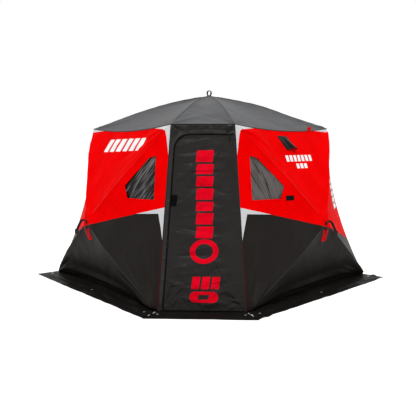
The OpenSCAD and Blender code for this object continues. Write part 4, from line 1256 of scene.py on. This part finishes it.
# the strap's line from the cap out level, then hanging to its buckle: distances out, up and along
STRAP = ((0.0062, -0.016, 0), (0.0062, 0.000, 0), (0.0072, 0.014, 0), (0.014, 0.0215, 0.001),
         (0.030, 0.0240, 0.002), (0.046, 0.0225, 0.003), (0.058, 0.014, 0.005), (0.067, 0.000, 0.007), (0.076, -0.018, 0.009),
         (0.086, -0.038, 0.011), (0.095, -0.058, 0.012), (0.103, -0.078, 0.013))
STRAP_POINTS, STRAP_W, STRAP_T = 41, 0.025, 0.0050
BUCKLE_ACROSS = np.array([0.93, 0.2, 0.0])
BUCKLE = [(-0.0165, -0.030), (0.0165, -0.030), (0.0190, -0.024), (0.0190, 0.008), (0.0165, 0.014),
          (-0.0165, 0.014), (-0.0190, 0.008), (-0.0190, -0.024)]
PRONG = [(-0.0105, -0.048), (-0.0065, -0.048), (-0.0060, -0.028), (-0.0120, -0.028)]

path = np.array([HUB + NORMAL * n + UP * z + ALONG * a for n, z, a in STRAP])
run = np.linspace(0, len(path) - 1, STRAP_POINTS)
path = np.stack([np.interp(run, np.arange(len(path)), path[:, k]) for k in range(3)], axis=1)
for _ in range(6):
    path[1:-1] = (path[:-2] + 2 * path[1:-1] + path[2:]) / 4
turn = smooth(np.linspace(0, 1, STRAP_POINTS), 0.1, 0.75)[:, None]
sides = mix(ALONG, BUCKLE_ACROSS, turn) + 0.5 * np.sin(math.pi * turn ** 0.8) * UP
ahead = headings(path)
sides -= (sides * ahead).sum(1, keepdims=True) * ahead
sides /= np.linalg.norm(sides, axis=1, keepdims=True)
across = unit(BUCKLE_ACROSS)
facing = np.cross(across, UP)
buckle = [plate(outline, path[-1] - 0.004 * facing, across, UP, facing, deep, 0.0016) for outline, deep in
          ((BUCKLE, 0.0105), (PRONG, 0.0055), ([(-x, y) for x, y in reversed(PRONG)], 0.0045))]

add("hub_pull_tab_fabric", joined([mirrored(sheet.part(TAB_SHAPE).shell(0.0018, 0.0026), signs)
                                   for signs, sheet in WALLS.values()]),
    RED_WEB, "red_webbing", replaces=["hub_pull_tabs"])
add("hub_pull_tab_webbing", joined([mirrored(tab_webbing(sheet), signs) for signs, sheet in WALLS.values()]),
    BLACK_WEB, "webbing")
add("guy_strap_webbing", on_walls(ribbon(path, sides, STRAP_W, STRAP_T)), BLACK_WEB, "webbing",
    replaces=["guy_straps"])
add("guy_strap_buckles", on_walls(joined(buckle)), PLASTIC, "black_plastic")


# ---------------------------------------------------------------- plain print marks on the front walls
def block_row(count, a0, pitch, wide, z0, z1, slant, fall=(0, 0)):
    return [slanted(a0 + pitch * i, a0 + pitch * i + wide, z0 - fall[0] * i, z1 - fall[1] * i, slant)
            for i in range(count)]


LEFT_MARKS = block_row(6, -0.530, 0.140, 0.098, 1.425, 1.545, -0.035, (0.004, 0.002))
RIGHT_MARKS = block_row(7, -0.300, 0.074, 0.050, 1.318, 1.378, 0.014)
RIGHT_MARKS += block_row(3, -0.155, 0.074, 0.052, 1.250, 1.296, 0.012)


def side_a(z):
    """Just inside the side seam at a height."""
    t = (TOP_Z - z) / (TOP_Z - FOOT_Z)
    return float((edge_xyz(np.array(2 + t)) - HUB) @ ALONG) - 0.010


# a column of bars beside the side seam, on a dark backing that is a little larger
SIDE_MARKS, SIDE_BACKING = [], []
for i in range(8):
    z, high, wide = 0.79 + 0.068 * i, 0.054, 0.250 - 0.021 * i
    for shapes, rim, grow in ((SIDE_MARKS, 0.055, 0), (SIDE_BACKING, 0.004, 0.007)):
        low, top = z - grow, z + high + grow
        shapes.append([(side_a(low) - wide - grow, low - 0.012), (side_a(low) - rim, low),
                       (side_a(top) - rim, top), (side_a(top) - wide - grow, top - 0.012)])
for wall, part, marks, material, slot, thickness, lift in (
        ("front_left", "marks", LEFT_MARKS, PRINT_WHITE, "silver_fabric", 0.0006, 0.0008),
        ("front_right", "mark_backing", SIDE_BACKING, BLACK, "black_fabric", 0.0003, 0.0005),
        ("front_right", "marks", RIGHT_MARKS + SIDE_MARKS, PRINT_WHITE, "silver_fabric", 0.0006, 0.0008)):
    signs, sheet = WALLS[wall]
    add(f"{wall}_{part}", cut_shapes(sheet, marks, thickness, lift), material, slot, signs)

# ---------------------------------------------------------------- ground skirts
SKIRT_W, SKIRT_DOOR_W, SKIRT_TURN, END_SKIRT_W, REAR_CUTBACK = 0.265, 0.210, 0.085, 0.225, 0.300
SKIRT_LAP, SILL, EYE_R, EYE_CLEAR = 0.008, 0.060, 0.008, 0.001
RUN = float(np.linalg.norm(SIDE_FOOT - DOOR_FOOT))
GROMMET = [(EYE_R, 0.0026), (EYE_R, 0.0052), (EYE_R + 0.0012, 0.0060), (EYE_R + 0.0045, 0.0058),
           (EYE_R + 0.0060, 0.0050), (EYE_R + 0.0060, 0.0042), (EYE_R + 0.0015, 0.0040), (EYE_R + 0.0015, 0.0026)]
# the skirts' long folds: share of the width, height, breadth
SKIRT_FOLDS = ((0.24, 0.012, 0.024), (0.52, 0.017, 0.028), (0.80, 0.012, 0.022))


def skirt_height(s, w, width, seed, lift):
    """Height of a skirt's folds, s along its inner edge and w out from it."""
    rng = np.random.default_rng(seed)
    high = np.zeros_like(s)
    for share, size, broad in SKIRT_FOLDS:
        wander = share * width + 0.022 * ripple(s, 0 * s, int(rng.integers(1000)), 0.7)
        swell = np.clip(0.45 + 0.8 * ripple(s, 0 * s, int(rng.integers(1000)), 0.45), 0, 1.3)
        high += size * swell * np.exp(-((w - wander) / broad) ** 2)
    lines = []
    length = float(s.max())
    for _ in range(int(length * 7)):
        x = rng.uniform(0, length)
        w0, w1 = sorted(rng.uniform(0.01, width, 2))
        lines.append((x, w0, x + rng.uniform(-0.16, 0.16), max(w1, w0 + 0.08), rng.uniform(0.010, 0.018),
                      rng.uniform(0.4, 1) * 0.010, 0.8))
    high += np.abs(folds(s, w, lines))
    edge = 0.003 * np.clip(ripple(s, 0 * s, seed + 5, 0.3), 0, 2) * smooth(w, width - 0.05, width)
    return (high + edge) * lift


def add_skirt(place, edges, grid, seed, signs, eyes, flat_to=0.004, ceiling=0.03, flutter=0.0, base=0.0036,
              sides=0.0):
    """A skirt between an inner and an outer line on the ground, with its grommet holes. Returns its grommets.
    It lies flat to flat_to from its inner edge, and over sides from its ends; folds stay under the ceiling."""
    inner, outer = edges
    t, j = np.meshgrid(*(np.linspace(0, 1, n) for n in grid), indexing="ij")
    a, b = inner(t), outer(t)
    length = float(np.linalg.norm(inner(np.array([[0.0]])) - inner(np.array([[1.0]]))))
    width = np.linalg.norm(b - a, axis=-1)
    s, w = t * length, j * width
    wave = 0.0018 * ripple(s, 0 * s, seed + 1, 0.20) + 0.0035 * ripple(s, 0 * s, seed + 2, 0.75)
    wave = wave + flutter * (0.010 * ripple(s, 0 * s, seed + 6, 0.16)) * smooth(s, 0.55, 0.1)
    p = a + (j * width + smooth(j, 0.55, 1) * (wave - 0.004))[..., None] * (b - a) / width[..., None]
    near = np.ones_like(s)
    for eye in eyes:
        near = near * smooth(np.hypot(p[..., 0] - eye[0], p[..., 1] - eye[1]), 0.016, 0.060)
    high = skirt_height(s, w, float(width.mean()), seed + 3, near) * smooth(w, flat_to, flat_to + 0.04)
    high = ceiling * np.tanh(high / ceiling)
    if sides:
        high = high * smooth(np.minimum(s, length - s), sides, sides + 0.06)
    p[..., 2] = base + high
    sheet = Sheet(p.reshape(-1, 3), grid_faces(*grid), p[..., :2].reshape(-1, 2))
    for x, y, _ in eyes:
        sheet.cut([(x + (EYE_R + EYE_CLEAR) * math.cos(k * math.pi / 8),
                    y + (EYE_R + EYE_CLEAR) * math.sin(k * math.pi / 8)) for k in range(16)], "outside")
    add(f"{place}_skirt_fabric", sheet.shell(), SKIRT_BLACK, "black_fabric", signs, replaces=[f"{place}_skirt"])
    return mirrored(joined([lathe(GROMMET, np.array([x, y, -0.0010])) for x, y, _ in eyes]), signs)


def wall_skirt_edges(cutback):
    """The inner and the outer line of a wide wall's skirt, that stops short of the side corner by the cutback."""
    last = 1 - cutback / RUN
    tip = mix(DOOR_FOOT, SIDE_FOOT, last) + mix(SKIRT_W, SKIRT_DOOR_W, cutback / RUN) * NORMAL
    corner = DOOR_FOOT + (SKIRT_DOOR_W + 0.006) * NORMAL - (SKIRT_TURN + 0.026) * ALONG

    def inner(t):
        p = edge_xyz(4 - 1e-6 - t * last * (1 - 2e-6))
        at_door = np.clip(1 - t * last / 0.03, 0, 1)[..., None]
        return (p - SKIRT_LAP * (NORMAL * (1 - at_door) + MITRE * at_door)) * (1, 1, 0)

    return inner, lambda t: mix(corner, tip, t[..., None]) * (1, 1, 0)


def level_line(corner):
    """The line across a door end that ends at a corner."""
    return lambda t: np.stack([mix(-corner[0], corner[0], t), np.full_like(t, corner[1]), 0 * t], axis=-1)


rims = []
for seed, (wall, (signs, _)) in enumerate(WALLS.items(), 71):
    cutback = REAR_CUTBACK if wall.startswith("rear") else 0.0
    eyes = [DOOR_FOOT + d * ALONG + SKIRT_DOOR_W / 2 * NORMAL for d in (0.055, RUN / 2, RUN - cutback - 0.070)]
    rims.append(add_skirt(wall, wall_skirt_edges(cutback), (190, 21), seed, signs, eyes,
                          flutter=1.0 if wall in VENTED else 0.2))
for seed, (end, signs) in enumerate(ENDS.items(), 85):
    eye = np.array([DOOR_FOOT[0] - 0.012, DOOR_FOOT[1] - END_SKIRT_W * 0.4, 0])
    edges = level_line(DOOR_FOOT - SILL * MITRE), level_line(DOOR_FOOT + END_SKIRT_W * MITRE)
    rims.append(add_skirt(end, edges, (110, 26), seed, signs, [eye, eye * (-1, 1, 1)],
                          SILL + 0.006, 0.012, base=0.0018, sides=0.045))
add("skirt_grommets", joined(rims), METAL, "grommet_metal", replaces=["grommets"])


for wall in WALLS:
    trim = [f"{wall}_window_binding", f"{wall}_reflective_points", f"{wall}_red_seams"]
    trim += [f"{wall}_{n}" for n in ("marks", "mark_backing", "velcro_patch") if f"{wall}_{n}" in bpy.data.objects]

# ---------------------------------------------------------------- finishes of the CAD parts that show
for name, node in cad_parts.items():
    if name.endswith("_poles") or name in ("wall_hubs", "roof_hub"):
        for slot in node.material_slots:
            slot.material = RODS if name.endswith("_poles") else PLASTIC

# ---------------------------------------------------------------- floor, light and background
FLOOR_HALF, FLOOR_COLOUR, FLOOR_GLOW, WORLD_LEVEL = 60, 0.88, 0.42, 0.42

floor_mesh = bpy.data.meshes.new("floor")
floor_mesh.from_pydata([(x * FLOOR_HALF, y * FLOOR_HALF, 0) for x, y in ((-1, -1), (1, -1), (1, 1), (-1, 1))], [],
                       [(0, 1, 2, 3)])
floor = bpy.data.objects.new("floor", floor_mesh)
scene.collection.objects.link(floor)
floor_material = bpy.data.materials.new("floor")
floor_material.use_nodes = True
g = Graph(floor_material.node_tree)
g.tree.nodes.remove(g.tree.nodes["Principled BSDF"])
diffuse = g.node("BsdfDiffuse", {"Color": (*grey(FLOOR_COLOUR), 1)})
glow = g.node("Emission", {"Color": (1, 1, 1, 1), "Strength": g.math("MULTIPLY", g.seen(), FLOOR_GLOW)})
g.fill(g.tree.nodes["Material Output"], {"Surface": g.node("AddShader", {0: diffuse, 1: glow})})
floor_mesh.materials.append(floor_material)

world = bpy.data.worlds.new("studio")
scene.world = world
world.use_nodes = True
g = Graph(world.node_tree)
level = g.math("ADD", g.math("MULTIPLY", g.seen(), 1 - WORLD_LEVEL), WORLD_LEVEL)
g.fill(g.tree.nodes["Background"], {"Color": (1, 1, 1, 1), "Strength": level})

# each sun's name, azimuth, elevation, strength and angular size
for name, azimuth, elevation, strength, size in (("key", -98, 60, 1.95, 12), ("fill", -45, 35, 0.30, 60),
                                                 ("back", 90, 50, 0.45, 60)):
    data = bpy.data.lights.new(name, "SUN")
    data.energy = strength
    data.angle = math.radians(size)
    lamp = bpy.data.objects.new(name, data)
    lamp.rotation_euler = (math.pi / 2 - math.radians(elevation), 0, math.radians(azimuth) + math.pi / 2)
    scene.collection.objects.link(lamp)

scene.view_settings.view_transform = "Standard"
